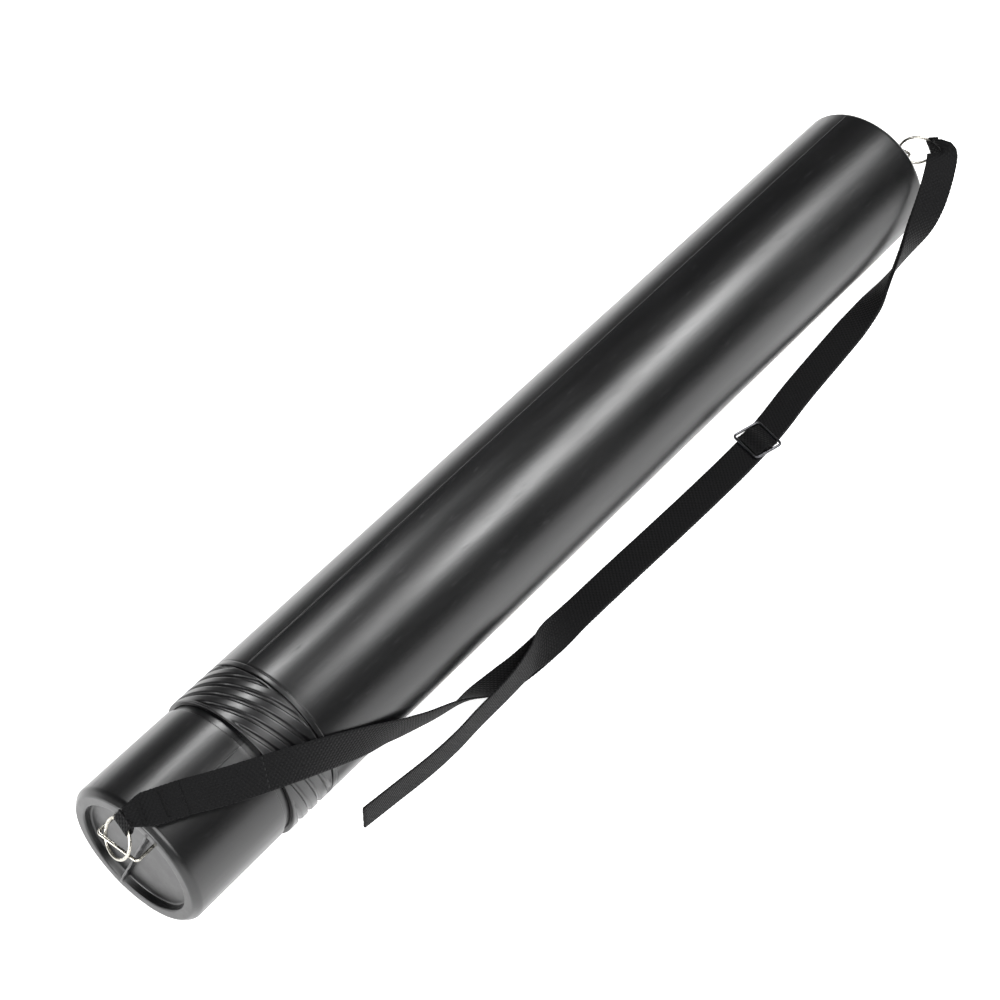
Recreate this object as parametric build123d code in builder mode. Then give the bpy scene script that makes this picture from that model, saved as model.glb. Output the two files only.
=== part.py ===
"""Telescopic drawing tube with a push-on cap, a carrying strap and an adjuster.

Millimetres, +Z up. The tube lies along X with its closed base at +X and its cap
at -X. The origin is on the floor under the middle of the closed tube.
"""
from build123d import *
from math import cos, radians, sin, tan
import os

# ---------------------------------------------------------------- tube sizes
CLOSED_LENGTH = 663.0       # cap end to base end with the tube pushed in
TUBE_RADIUS = 45.0          # outside of the outer tube
OUTER_WALL = 1.5            # outer tube wall away from the collar
EXTENSION = 440.0           # how far the inner tube draws out
INNER_RADIUS = 42.0         # outside of the inner tube
INNER_WALL = 1.5
COLLAR_CLEARANCE = 0.1      # inner tube in the collar, and cap on the inner tube
BEAD_CLEARANCE = 0.3        # guide beads inside the outer tube
BEAD_LENGTH = 6.0
BEAD_RAMP = 1.2             # slope up to each guide bead
FLOOR_CLEARANCE = 1.2       # cap floor to the inner tube's mouth
BASE_CLEARANCE = 6.0        # inner tube's tail to the base's floor

# ---------------------------------------------------------------- end pockets
TUBE_SHOULDER = 4.0         # skin of the base in to the flat rim round its pocket
CAP_SHOULDER = 3.0
LAND_WIDTH = 6.0            # that rim, in to the pocket's edge
POCKET_DRAFT = 0.8
POCKET_DEPTH = 4.5
END_WALL = 1.8
SEAM_WIDTH = 1.6            # pinched-off seam across each end
SEAM_PROUD = 0.6
SEAM_ANGLE = 68.0           # from -Y towards +Z

# ---------------------------------------------------------------- cap and collar
CAP_LENGTH = 67.0
CAP_END_RADIUS = 44.0
CAP_MOUTH_RADIUS = 43.5
NECK_GAP = 5.0              # bare inner tube between the cap and the collar
LIP_LENGTH = 1.5
RIBBED_LENGTH = 28.0
RUN_OUT = 1.5
END_RING = 2.5
GROOVE_STARTS = 10
GROOVE_LEAD = 75.0          # advance per turn
GROOVE_ANGLE = 12.0         # share of the circle that each groove takes
GROOVE_DEPTH = 1.4
LINE_WIDTH = 0.8            # moulding line along the outer tube
LINE_PROUD = 0.3
LINE_ANGLE = 110.0          # from -Y towards +Z

# ---------------------------------------------------------------- wire fittings
WIRE_RADIUS = 0.9
BAIL_REACH = 10.8           # end face to the middle of the bail's bar
BAIL_SPAN = 27.5            # between the middles of its two legs
BAIL_BEND = 2.0
BAIL_CLINCH = 5.0
LEG_CLEARANCE = 0.1
WASHER_RADIUS = 2.5
WASHER_THICKNESS = 0.8
RING_RADIUS = 10.7          # middle of the wire
CAP_BAIL_HEIGHT = 27.3      # bar above the tube's axis
CAP_BAIL_SIDE = -3.25       # middle of the bar, along Y
BASE_BAIL_HEIGHT = 21.3
BASE_BAIL_SIDE = -10.5

# ---------------------------------------------------------------- strap
STRAP_WIDTH = 19.0
STRAP_THICKNESS = 1.4
LAYER_GAP = 0.15
FOLD_WIDTH = 12.0           # where the webbing bunches in a ring
FOLD_CLEARANCE = 0.15       # webbing round the ring's wire

# ---------------------------------------------------------------- adjuster
SLIDER_WIRE = 0.8           # radius
SLIDER_LENGTH = 19.5        # between the middles of the two end bars
SLIDER_SIDE_CLEARANCE = 0.6
SLIDER_SKEW = 15.0          # end bars' +Y ends lean this far towards +X
SLIDER_CENTRE = (133.6, -61.0)

# ---------------------------------------------------------------- derived
AXIS_HEIGHT = TUBE_RADIUS
BASE_END = CLOSED_LENGTH / 2
CAP_END = -CLOSED_LENGTH / 2
BORE_RADIUS = TUBE_RADIUS - OUTER_WALL
COLLAR_RADIUS = INNER_RADIUS + COLLAR_CLEARANCE
COLLAR_START = CAP_END + CAP_LENGTH + NECK_GAP
COLLAR_LENGTH = LIP_LENGTH + RIBBED_LENGTH + RUN_OUT + END_RING
COLLAR_END = COLLAR_START + COLLAR_LENGTH
POCKET_FLOOR = POCKET_DEPTH + END_WALL
BEAD_RADIUS = BORE_RADIUS - BEAD_CLEARANCE
INNER_START = CAP_END + POCKET_FLOOR + FLOOR_CLEARANCE
INNER_END = BASE_END - POCKET_FLOOR - BASE_CLEARANCE
STOP_BEAD = COLLAR_END + EXTENSION + BEAD_RAMP + COLLAR_CLEARANCE
TUBE_AXIS = Axis((0, 0, AXIS_HEIGHT), (1, 0, 0))
LAYER_STEP = STRAP_THICKNESS + LAYER_GAP
SEWN_THICKNESS = 2 * STRAP_THICKNESS + LAYER_GAP


def side_plane(x):
    """Plane across the tube at x: local x is +Y, local y is +Z, facing +X."""
    return Plane(origin=(x, 0, AXIS_HEIGHT), x_dir=(0, 1, 0), z_dir=(1, 0, 0))


def profile_plane():
    """Half-section plane of the tube: local x is +X, local y is the radius."""
    return Plane(origin=(0, 0, AXIS_HEIGHT), x_dir=(1, 0, 0), z_dir=(0, -1, 0))


def end_cup(outside, bore, end, inward, shoulder):
    """Points and corner radii of one closed end, from the bore out to the skin."""
    land = outside - shoulder
    pocket = land - LAND_WIDTH
    inner_land = bore - END_WALL
    rows = [
        ((end + inward * POCKET_FLOOR, 0), 0),
        ((end + inward * POCKET_DEPTH, 0), 0),
        ((end + inward * POCKET_DEPTH, pocket - POCKET_DRAFT), 0.8),
        ((end, pocket), 0.8),
        ((end, land), 0.5),
        ((end + inward * shoulder, outside), 2.0),
    ]
    inside = [
        ((end + inward * (shoulder + END_WALL / 2), bore), 1.5),
        ((end + inward * END_WALL, inner_land), 0.5),
        ((end + inward * END_WALL, pocket + END_WALL), 0.8),
        ((end + inward * POCKET_FLOOR, pocket - POCKET_DRAFT + END_WALL), 0.8),
    ]
    return rows, inside


def revolve_profile(rows):
    """Revolve a closed outline of (point, corner radius) rows about the tube's axis."""
    points = [row[0] for row in rows]
    corner_radii = [row[1] for row in rows]
    with BuildPart() as turned:
        with BuildSketch(profile_plane()):
            with BuildLine():
                FilletPolyline(*points, radius=corner_radii, close=True)
            make_face()
        revolve(axis=TUBE_AXIS)
    return turned.part


def seam_bar(end, inward, land):
    """Web left across the pocket and its rim where the two mould halves pinch."""
    height = POCKET_DEPTH + SEAM_PROUD + END_WALL / 2
    plane = Plane(
        origin=(end - inward * SEAM_PROUD, 0, AXIS_HEIGHT),
        x_dir=(0, -cos(radians(SEAM_ANGLE)), sin(radians(SEAM_ANGLE))),
        z_dir=(inward, 0, 0),
    )
    with BuildPart() as web:
        with BuildSketch(plane):
            SlotOverall(2 * (land - 1.0), SEAM_WIDTH)
        extrude(amount=height)
    return web.part


def leg_places(side, height):
    """The two leg positions of a bail, as (y, z) from the tube's axis."""
    return [
        (side - BAIL_SPAN / 2, height),
        (side + BAIL_SPAN / 2, height),
    ]


# ================================================================ outer tube
base_rows, base_inside = end_cup(TUBE_RADIUS, BORE_RADIUS, BASE_END, -1, TUBE_SHOULDER)
outer_rows = base_rows + [
    ((COLLAR_START, TUBE_RADIUS), 0.6),
    ((COLLAR_START, COLLAR_RADIUS), 0.3),
    ((COLLAR_END, COLLAR_RADIUS), 0.0),
    ((COLLAR_END, BORE_RADIUS), 0.0),
] + base_inside
outer_body = revolve_profile(outer_rows)

groove_inner = TUBE_RADIUS - GROOVE_DEPTH
groove_outer = TUBE_RADIUS + 1.0
groove_run = RIBBED_LENGTH + RUN_OUT / 2
groove_half = GROOVE_ANGLE / 2
with BuildSketch(side_plane(COLLAR_START + LIP_LENGTH)) as groove_section:
    with BuildLine():
        inner_arc = CenterArc((0, 0), groove_inner, -groove_half, GROOVE_ANGLE)
        outer_arc = CenterArc((0, 0), groove_outer, -groove_half, GROOVE_ANGLE)
        Line(inner_arc @ 0, outer_arc @ 0)
        Line(inner_arc @ 1, outer_arc @ 1)
    make_face()
groove = Solid.extrude_linear_with_rotation(
    groove_section.sketch.faces()[0],
    center=(COLLAR_START + LIP_LENGTH, 0, AXIS_HEIGHT),
    normal=(groove_run, 0, 0),
    angle=360 * groove_run / GROOVE_LEAD,
)
grooves = [
    groove.rotate(TUBE_AXIS, start * 360 / GROOVE_STARTS)
    for start in range(GROOVE_STARTS)
]

base_seam = seam_bar(BASE_END, -1, TUBE_RADIUS - TUBE_SHOULDER)
with BuildPart() as outer_tube:
    add(outer_body)
    add(base_seam)
    with BuildSketch(side_plane(COLLAR_START + LIP_LENGTH + RIBBED_LENGTH)):
        Circle(TUBE_RADIUS + 1)
        Circle(TUBE_RADIUS - GROOVE_DEPTH, mode=Mode.SUBTRACT)
    extrude(amount=RUN_OUT, mode=Mode.SUBTRACT)
    add(grooves, mode=Mode.SUBTRACT)
    for turn in (0, 180):
        line_angle = radians(LINE_ANGLE + turn)
        line_plane = Plane(
            origin=(COLLAR_END, 0, AXIS_HEIGHT),
            x_dir=(0, -cos(line_angle), sin(line_angle)),
            z_dir=(1, 0, 0),
        )
        with BuildSketch(line_plane):
            with Locations((TUBE_RADIUS - OUTER_WALL / 4 + LINE_PROUD / 2, 0)):
                Rectangle(OUTER_WALL / 2 + LINE_PROUD, LINE_WIDTH)
        extrude(amount=BASE_END - COLLAR_END - TUBE_SHOULDER)
    with BuildSketch(side_plane(BASE_END)):
        with Locations(*leg_places(BASE_BAIL_SIDE, BASE_BAIL_HEIGHT)):
            Circle(WIRE_RADIUS + LEG_CLEARANCE)
    extrude(amount=-POCKET_FLOOR - 1, mode=Mode.SUBTRACT)

# ================================================================ inner tube
inner_bore = INNER_RADIUS - INNER_WALL
inner_rows = [
    ((INNER_START, inner_bore), 0.4),
    ((INNER_START, INNER_RADIUS), 0.5),
    ((STOP_BEAD - BEAD_RAMP, INNER_RADIUS), 0.0),
    ((STOP_BEAD, BEAD_RADIUS), 0.3),
    ((STOP_BEAD + BEAD_LENGTH, BEAD_RADIUS), 0.3),
    ((STOP_BEAD + BEAD_LENGTH + BEAD_RAMP, INNER_RADIUS), 0.0),
    ((INNER_END - BEAD_LENGTH - BEAD_RAMP, INNER_RADIUS), 0.0),
    ((INNER_END - BEAD_LENGTH, BEAD_RADIUS), 0.3),
    ((INNER_END, BEAD_RADIUS), 0.3),
    ((INNER_END, inner_bore), 0.3),
]
inner_body = revolve_profile(inner_rows)
with BuildPart() as inner_tube:
    add(inner_body)

# ================================================================ cap
cap_rows, cap_inside = end_cup(CAP_END_RADIUS, COLLAR_RADIUS, CAP_END, 1, CAP_SHOULDER)
cap_outline = cap_rows + [
    ((CAP_END + CAP_LENGTH, CAP_MOUTH_RADIUS), 0.4),
    ((CAP_END + CAP_LENGTH, COLLAR_RADIUS), 0.3),
] + cap_inside
cap_body = revolve_profile(cap_outline)
cap_seam = seam_bar(CAP_END, 1, CAP_END_RADIUS - CAP_SHOULDER)
with BuildPart() as cap:
    add(cap_body)
    add(cap_seam)
    with BuildSketch(side_plane(CAP_END)):
        with Locations(*leg_places(CAP_BAIL_SIDE, CAP_BAIL_HEIGHT)):
            Circle(WIRE_RADIUS + LEG_CLEARANCE)
    extrude(amount=POCKET_FLOOR + 1, mode=Mode.SUBTRACT)


# ================================================================ bails
def bail_wire(end, inward, side, height):
    """Staple of wire: a bar outside the end, two legs and two clinched feet."""
    bar_x = end - inward * BAIL_REACH
    foot_x = end + inward * (POCKET_FLOOR + WASHER_THICKNESS + WIRE_RADIUS)
    low = side - BAIL_SPAN / 2
    high = side + BAIL_SPAN / 2
    level = AXIS_HEIGHT + height
    points = [
        (foot_x, low + BAIL_CLINCH, level),
        (foot_x, low, level),
        (bar_x, low, level),
        (bar_x, high, level),
        (foot_x, high, level),
        (foot_x, high - BAIL_CLINCH, level),
    ]
    with BuildPart() as wire:
        with BuildLine() as route:
            FilletPolyline(*points, radius=[1.2, BAIL_BEND, BAIL_BEND, 1.2])
        with BuildSketch(Plane(origin=points[0], z_dir=(0, -1, 0))):
            Circle(WIRE_RADIUS)
        sweep(path=route.wires()[0])
    return wire.part


def washers(end, inward, side, height):
    """Pair of washers under the clinched feet."""
    plane = Plane(
        origin=(end + inward * POCKET_FLOOR, 0, AXIS_HEIGHT),
        x_dir=(0, 1, 0),
        z_dir=(1, 0, 0),
    )
    with BuildPart() as pair:
        with BuildSketch(plane):
            with Locations(*leg_places(side, height)):
                Circle(WASHER_RADIUS)
                Circle(WIRE_RADIUS + LEG_CLEARANCE, mode=Mode.SUBTRACT)
        extrude(amount=inward * WASHER_THICKNESS)
    return pair.part


cap_staple = bail_wire(CAP_END, 1, CAP_BAIL_SIDE, CAP_BAIL_HEIGHT)
cap_washer_pair = washers(CAP_END, 1, CAP_BAIL_SIDE, CAP_BAIL_HEIGHT)
base_staple = bail_wire(BASE_END, -1, BASE_BAIL_SIDE, BASE_BAIL_HEIGHT)
base_washer_pair = washers(BASE_END, -1, BASE_BAIL_SIDE, BASE_BAIL_HEIGHT)

with BuildPart() as cap_bail:
    add(cap_staple)

with BuildPart() as cap_bail_washers:
    add(cap_washer_pair)

with BuildPart() as base_bail:
    add(base_staple)

with BuildPart() as base_bail_washers:
    add(base_washer_pair)


# ================================================================ rings
def ring_frame(centre, normal, pull):
    """Ring plane facing `normal`, with local x towards the strap's pull."""
    face = Vector(*normal).normalized()
    outward = Vector(*pull)
    outward = (outward - face * outward.dot(face)).normalized()
    return Plane(origin=centre, x_dir=outward, z_dir=face)


CAP_RING = ring_frame(
    (CAP_END - 8.8, -2.3, AXIS_HEIGHT + 31.5), (-0.86, 0.25, 0.44), (0.43, -0.14, 0.89)
)
BASE_RING = ring_frame(
    (BASE_END + 14.3, -26.0, AXIS_HEIGHT + 23.3), (0.84, 0.54, 0), (0.5, -0.777, 0.38)
)


with BuildPart(CAP_RING) as cap_ring:
    Torus(RING_RADIUS, WIRE_RADIUS)

with BuildPart(BASE_RING) as base_ring:
    Torus(RING_RADIUS, WIRE_RADIUS)

# ================================================================ strap route
# Rows of (x, y, z), then the way that the webbing's upper face looks there.
# The upper face is the one that looks up where the webbing lies on the floor.
STRAP_ROUTE = [
    ((-326.5, -8.7, 91.2), (0.25, 0.15, -0.93)),
    ((-318.0, -12.8, 90.3), (0, 0.28, -0.96)),
    ((-307.5, -17.0, 88.4), (0, 0.37, -0.93)),
    ((-286.5, -26.0, 83.0), (0, 0.56, -0.83)),
    ((-265.5, -33.0, 77.0), (0, 0.71, -0.70)),
    ((-243.5, -39.3, 69.5), (0, 0.85, -0.53)),
    ((-221.5, -43.8, 59.5), (0, 0.95, -0.30)),
    ((-200.5, -46.4, 47.5), (0, 1.0, -0.05)),
    ((-182.5, -47.0, 36.5), (0, 0.96, 0.28)),
    ((-165.5, -47.0, 25.0), (0, 0.92, 0.39)),
    ((-144.5, -48.0, 14.6), (0, 0.89, 0.46)),
    ((-133.5, -49.3, 10.3), (0, 0.84, 0.54)),
    ((-116.5, -51.8, 5.6), (0, 0.42, 0.91)),
    ((-97.5, -55.0, 1.8), (0, 0.05, 1.0)),
    ((-73.5, -57.3, 1.2), (0, 0, 1)),
    ((-41.5, -57.2, 1.2), (0, 0, 1)),
    ((-1.5, -58.2, 1.2), (0, 0, 1)),
    ((38.5, -59.6, 1.2), (0, 0, 1)),
    ((78.5, -60.7, 1.2), (0, 0, 1)),
    ((113.5, -61.2, 1.2), (0, 0, 1)),
    ((148.5, -60.1, 1.2), (0, 0, 1)),
    ((178.5, -56.2, 1.2), (0, 0, 1)),
    ((213.5, -53.6, 1.2), (0, 0, 1)),
    ((246.5, -51.4, 1.5), (0, 0.05, 1)),
    ((270.5, -51.0, 6.0), (-0.1, 0.42, 0.9)),
    ((287.5, -52.2, 17.5), (-0.2, 0.88, 0.42)),
    ((300.5, -54.1, 32.6), (0.0, 1.0, 0.0)),
    ((312.5, -55.2, 47.1), (0.45, 0.82, -0.35)),
    ((322.5, -54.0, 59.1), (0.66, 0.60, -0.45)),
    ((332.5, -50.8, 68.5), (0.80, 0.50, -0.32)),
    ((342.0, -46.6, 74.6), (0.86, 0.48, -0.10)),
    ((349.0, -42.0, 76.4), (0.86, 0.50, 0.0)),
]
# The free end, from the adjuster back along the webbing and then beside it.
TAIL_ROUTE = [
    ((113.5, -61.2, 2.75), (0, 0, 1)),
    ((78.5, -60.7, 2.75), (0, 0, 1)),
    ((38.5, -59.6, 2.75), (0, 0, 1)),
    ((-1.5, -58.2, 2.75), (0, 0, 1)),
    ((-31.5, -57.6, 2.8), (0, 0, 1)),
    ((-46.5, -58.0, 3.8), (0, -0.15, 1)),
    ((-58.5, -59.2, 6.6), (0, -0.42, 0.9)),
    ((-70.5, -61.0, 10.3), (0, -0.72, 0.69)),
    ((-84.0, -63.0, 13.0), (0, -0.97, 0.20)),
    ((-100.0, -64.8, 12.8), (0, -1, 0.05)),
    ((-116.0, -64.9, 11.6), (0, -1, 0)),
    ((-133.0, -64.2, 10.6), (0, -1, 0)),
    ((-151.5, -65.0, 10.0), (0, -1, 0)),
    ((-173.5, -64.0, 9.9), (0, -1, 0)),
    ((-197.5, -61.0, 9.9), (0, -1, 0)),
    ((-221.5, -58.2, 9.9), (0, -1, 0)),
]
FOLD_REACH = 15.0           # ring's middle to where its two layers lie flat
SEWN_END_X = -307.5         # where the cap end's sewn layer stops
CAP_SHARE_X = -265.5        # webbing beyond here doesn't travel with the cap
COARSE_STEP = 7.0
FINE_STEP = 3.0
FINE_LENGTH = 60.0          # stations are closer within this of a route's ends
SPREAD_LENGTH = 10.0        # webbing regains its width in this, past a fold


def ring_row(frame, aside, facing):
    """Route row on a ring's pull line; `facing` of -1 turns the webbing over."""
    point = frame.origin + frame.x_dir * FOLD_REACH + frame.z_dir * aside
    face = frame.z_dir * facing
    return ((point.X, point.Y, point.Z), (face.X, face.Y, face.Z))


def arc_radii(points):
    """Largest arc at each inner corner that leaves both its runs their share."""
    corner_radii = []
    for before, here, after in zip(points, points[1:], points[2:]):
        run_in = Vector(*here) - Vector(*before)
        run_out = Vector(*after) - Vector(*here)
        half_turn = radians(run_in.get_angle(run_out) / 2)
        corner_radii.append(0.45 * min(run_in.length, run_out.length) / tan(half_turn))
    return corner_radii


def strap_stations(name, rows):
    """Planes across the webbing along a route: local x is its width, z its way."""
    points = [row[0] for row in rows]
    faces = [Vector(*row[1]).normalized() for row in rows]
    corner_radii = arc_radii(points)
    with BuildLine() as route:
        FilletPolyline(*points, radius=corner_radii)
    wire = route.wires()[0]
    print(name, "length", round(wire.length, 1))
    print(name, "arc radii", [round(radius, 1) for radius in corner_radii])
    marks = [0.0]
    for before, here in zip(points, points[1:]):
        marks.append(marks[-1] + (Vector(*here) - Vector(*before)).length)
    fine_steps = round(FINE_LENGTH / FINE_STEP)
    middle = wire.length - 2 * FINE_LENGTH
    middle_steps = round(middle / COARSE_STEP)
    distances = [FINE_STEP * step for step in range(fine_steps)]
    distances += [FINE_LENGTH + middle * step / middle_steps for step in range(middle_steps)]
    distances += [wire.length - FINE_STEP * step for step in range(fine_steps, -1, -1)]
    planes = []
    for distance in distances:
        share = distance / wire.length
        mark = share * marks[-1]
        row = max(index for index in range(len(marks) - 1) if marks[index] <= mark)
        blend = (mark - marks[row]) / (marks[row + 1] - marks[row])
        face = faces[row] * (1 - blend) + faces[row + 1] * blend
        way = wire.tangent_at(share)
        face = (face - way * face.dot(way)).normalized()
        planes.append(
            Plane(origin=wire.position_at(share), x_dir=face.cross(way), z_dir=way)
        )
    return planes


def webbing(
    name, planes, thickness=STRAP_THICKNESS, start_width=STRAP_WIDTH, end_width=STRAP_WIDTH
):
    """Flat strap lofted through its stations; its volume is checked against its length."""
    origins = [plane.origin for plane in planes]
    travelled = [0.0]
    for before, here in zip(origins, origins[1:]):
        travelled.append(travelled[-1] + (here - before).length)
    length = travelled[-1]
    with BuildPart() as strap:
        for plane, distance in zip(planes, travelled):
            from_start = min(1.0, distance / SPREAD_LENGTH)
            from_end = min(1.0, (length - distance) / SPREAD_LENGTH)
            width = min(
                start_width + (STRAP_WIDTH - start_width) * from_start,
                end_width + (STRAP_WIDTH - end_width) * from_end,
            )
            with BuildSketch(plane):
                Rectangle(width, thickness)
        loft(ruled=True)
    expected = length * STRAP_WIDTH * thickness
    print(name, "length", round(length, 1), "volume share", round(strap.part.volume / expected, 3))
    return strap.part


def ring_fold(frame):
    """Hairpin of webbing round a ring's wire, closing to two flat layers."""
    hole = WIRE_RADIUS + FOLD_CLEARANCE
    skin = hole + STRAP_THICKNESS
    near = 8.4
    far = RING_RADIUS + 0.4
    half = SEWN_THICKNESS / 2
    section = Plane(
        origin=frame.origin, x_dir=frame.x_dir, z_dir=frame.x_dir.cross(frame.z_dir)
    )
    with BuildPart() as fold:
        with BuildSketch(section):
            with BuildLine():
                Polyline(
                    (near, skin),
                    (far, skin),
                    (FOLD_REACH, half),
                    (FOLD_REACH, -half),
                    (far, -skin),
                    (near, -skin),
                )
                ThreePointArc((near, -skin), (near - skin, 0), (near, skin))
            make_face()
            with Locations(((near + far) / 2, 0)):
                SlotCenterToCenter(far - near, 2 * hole, mode=Mode.SUBTRACT)
        extrude(amount=FOLD_WIDTH / 2, both=True)
    return fold.part


# ================================================================ strap pieces
main_rows = [ring_row(CAP_RING, 0, -1)] + STRAP_ROUTE + [ring_row(BASE_RING, -LAYER_STEP / 2, 1)]
main_planes = strap_stations("main strap", main_rows)
loop_last = next(i for i, plane in enumerate(main_planes) if plane.origin.X >= SEWN_END_X)
cap_last = next(i for i, plane in enumerate(main_planes) if plane.origin.X >= CAP_SHARE_X)
slider_at = next(i for i, plane in enumerate(main_planes) if plane.origin.X >= SLIDER_CENTRE[0])
loop_planes = main_planes[: loop_last + 1]
back_planes = main_planes[slider_at:]
return_planes = [plane.offset(0) for plane in back_planes]
for plane in return_planes:
    plane.origin = plane.origin + plane.y_dir * LAYER_STEP
tail_planes = strap_stations("tail", TAIL_ROUTE)[1:]
first_tail = Plane(
    origin=return_planes[0].origin,
    x_dir=return_planes[0].x_dir * -1,
    z_dir=return_planes[0].z_dir * -1,
)

cap_fold = ring_fold(CAP_RING)
base_fold = ring_fold(BASE_RING)
sewn_layers = webbing("strap_cap_loop", loop_planes, SEWN_THICKNESS, FOLD_WIDTH)
cap_run = webbing("strap_cap_run", main_planes[loop_last : cap_last + 1])
front_run = webbing("strap_front_run", main_planes[cap_last : slider_at + 1])
back_run = webbing("strap_back_run", back_planes, end_width=FOLD_WIDTH)
return_run = webbing("strap_return", return_planes, end_width=FOLD_WIDTH)
tail_run = webbing("strap_tail", [first_tail] + tail_planes)

with BuildPart() as strap_cap_loop:
    add(cap_fold)
    add(sewn_layers)

with BuildPart() as strap_cap_run:
    add(cap_run)

with BuildPart() as strap_front_run:
    add(front_run)

with BuildPart() as strap_back_run:
    add(back_run)

with BuildPart() as strap_return:
    add(return_run)

with BuildPart() as strap_tail:
    add(tail_run)

with BuildPart() as strap_base_fold:
    add(base_fold)

# Two bar tacks hold the sewn end of the webbing.
with BuildPart() as strap_stitching:
    for tack in (loop_planes[-2], loop_planes[-5]):
        surface = tack.origin - tack.y_dir * SEWN_THICKNESS / 2
        with BuildSketch(Plane(origin=surface, x_dir=tack.x_dir, z_dir=tack.y_dir * -1)):
            Rectangle(STRAP_WIDTH - 5.0, 1.6)
        extrude(amount=0.3)

# ================================================================ adjuster
layers_top = 1.2 + 1.5 * STRAP_THICKNESS + LAYER_GAP
slider_level = layers_top + 0.3 + SLIDER_WIRE
slider_width = STRAP_WIDTH + 2 * (SLIDER_SIDE_CLEARANCE + SLIDER_WIRE)
slider_plane = Plane(
    origin=(*SLIDER_CENTRE, slider_level),
    x_dir=(cos(radians(SLIDER_SKEW)), -sin(radians(SLIDER_SKEW)), 0),
    z_dir=(0, 0, 1),
)
half_length = SLIDER_LENGTH / 2
half_width = slider_width / 2
with BuildPart() as slider_frame:
    with BuildLine(slider_plane) as frame_route:
        FilletPolyline(
            (0, -half_width),
            (half_length, -half_width),
            (half_length, half_width),
            (-half_length, half_width),
            (-half_length, -half_width),
            (0, -half_width),
            radius=[0, 2.2, 2.2, 2.2, 2.2],
            close=True,
        )
    frame_start = slider_plane.from_local_coords((0, -half_width, 0))
    with BuildSketch(Plane(origin=frame_start, z_dir=slider_plane.x_dir)):
        Circle(SLIDER_WIRE)
    sweep(path=frame_route.wires()[0])

with BuildPart() as slider_bar:
    bar_start = slider_plane.from_local_coords((0, -half_width + SLIDER_WIRE, 0))
    with BuildSketch(Plane(origin=bar_start, z_dir=slider_plane.y_dir)):
        Circle(SLIDER_WIRE)
    extrude(amount=slider_width - 2 * SLIDER_WIRE)

hump_low = layers_top + 0.15 + STRAP_THICKNESS / 2 - slider_level
hump_high = 2 * SLIDER_WIRE + 0.1 - SLIDER_WIRE + STRAP_THICKNESS / 2
with BuildPart() as strap_over_bar:
    with BuildSketch(
        Plane(
            origin=slider_plane.from_local_coords((0, 0, 0)),
            x_dir=slider_plane.x_dir,
            z_dir=slider_plane.y_dir * -1,
        )
    ):
        with BuildLine():
            Polyline(
                (-5.6, hump_low - 0.7),
                (-1.3, hump_high - 0.7),
                (1.3, hump_high - 0.7),
                (5.6, hump_low - 0.7),
                (6.6, hump_low + 0.2),
                (1.9, hump_high + 0.7),
                (-1.9, hump_high + 0.7),
                (-6.6, hump_low + 0.2),
                close=True,
            )
        make_face()
    extrude(amount=STRAP_WIDTH / 2 - 0.3, both=True)

# ================================================================ export
PIECES = {
    "outer_tube": outer_tube,
    "inner_tube": inner_tube,
    "cap": cap,
    "cap_bail": cap_bail,
    "cap_bail_washers": cap_bail_washers,
    "cap_ring": cap_ring,
    "base_bail": base_bail,
    "base_bail_washers": base_bail_washers,
    "base_ring": base_ring,
    "slider_frame": slider_frame,
    "slider_bar": slider_bar,
    "strap_over_bar": strap_over_bar,
    "strap_cap_loop": strap_cap_loop,
    "strap_stitching": strap_stitching,
    "strap_cap_run": strap_cap_run,
    "strap_front_run": strap_front_run,
    "strap_back_run": strap_back_run,
    "strap_return": strap_return,
    "strap_base_fold": strap_base_fold,
    "strap_tail": strap_tail,
}

os.makedirs("parts", exist_ok=True)
for name, piece in PIECES.items():
    piece.part.label = name
    export_step(piece.part, f"parts/{name}.step")
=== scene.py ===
"""Telescopic drawing tube with a carrying strap, dressed for a soft studio shot.

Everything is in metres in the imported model's own frame: +X from the cap to the
closed base, +Z up, the strap on the -Y side, the floor at zero.
"""

import logging
import math
from dataclasses import dataclass, field
from enum import Enum
from typing import Any, Optional, Sequence

import bmesh
import bpy
import numpy as np
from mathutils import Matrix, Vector


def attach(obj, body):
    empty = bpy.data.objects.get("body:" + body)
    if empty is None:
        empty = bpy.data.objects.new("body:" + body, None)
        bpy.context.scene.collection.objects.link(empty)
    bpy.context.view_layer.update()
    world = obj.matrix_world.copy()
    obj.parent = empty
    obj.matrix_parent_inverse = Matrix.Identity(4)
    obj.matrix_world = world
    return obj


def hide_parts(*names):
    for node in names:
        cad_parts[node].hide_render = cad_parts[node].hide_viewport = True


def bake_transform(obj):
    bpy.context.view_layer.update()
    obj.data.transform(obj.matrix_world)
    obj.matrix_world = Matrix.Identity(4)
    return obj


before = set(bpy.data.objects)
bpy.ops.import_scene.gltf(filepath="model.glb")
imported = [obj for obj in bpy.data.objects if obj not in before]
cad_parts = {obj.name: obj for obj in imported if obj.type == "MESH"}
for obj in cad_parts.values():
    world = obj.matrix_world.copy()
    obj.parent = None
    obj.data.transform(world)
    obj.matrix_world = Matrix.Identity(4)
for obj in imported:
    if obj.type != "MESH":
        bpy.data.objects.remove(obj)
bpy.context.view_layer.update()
MM = 0.001
LOG = logging.getLogger("drawing_tube")

Array = np.ndarray


# ---------------------------------------------------------------- small tools
def linear(code: str) -> tuple[float, float, float, float]:
    """Turn an sRGB hex code into the linear colour that shaders take.

    Args:
        code: six hex digits, with or without a leading hash.

    Returns:
        Red, green, blue and alpha.
    """
    digits = code.lstrip("#")
    parts = [int(digits[i:i + 2], 16) / 255.0 for i in (0, 2, 4)]
    curve = [c / 12.92 if c <= 0.04045 else ((c + 0.055) / 1.055) ** 2.4 for c in parts]
    return (curve[0], curve[1], curve[2], 1.0)


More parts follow.
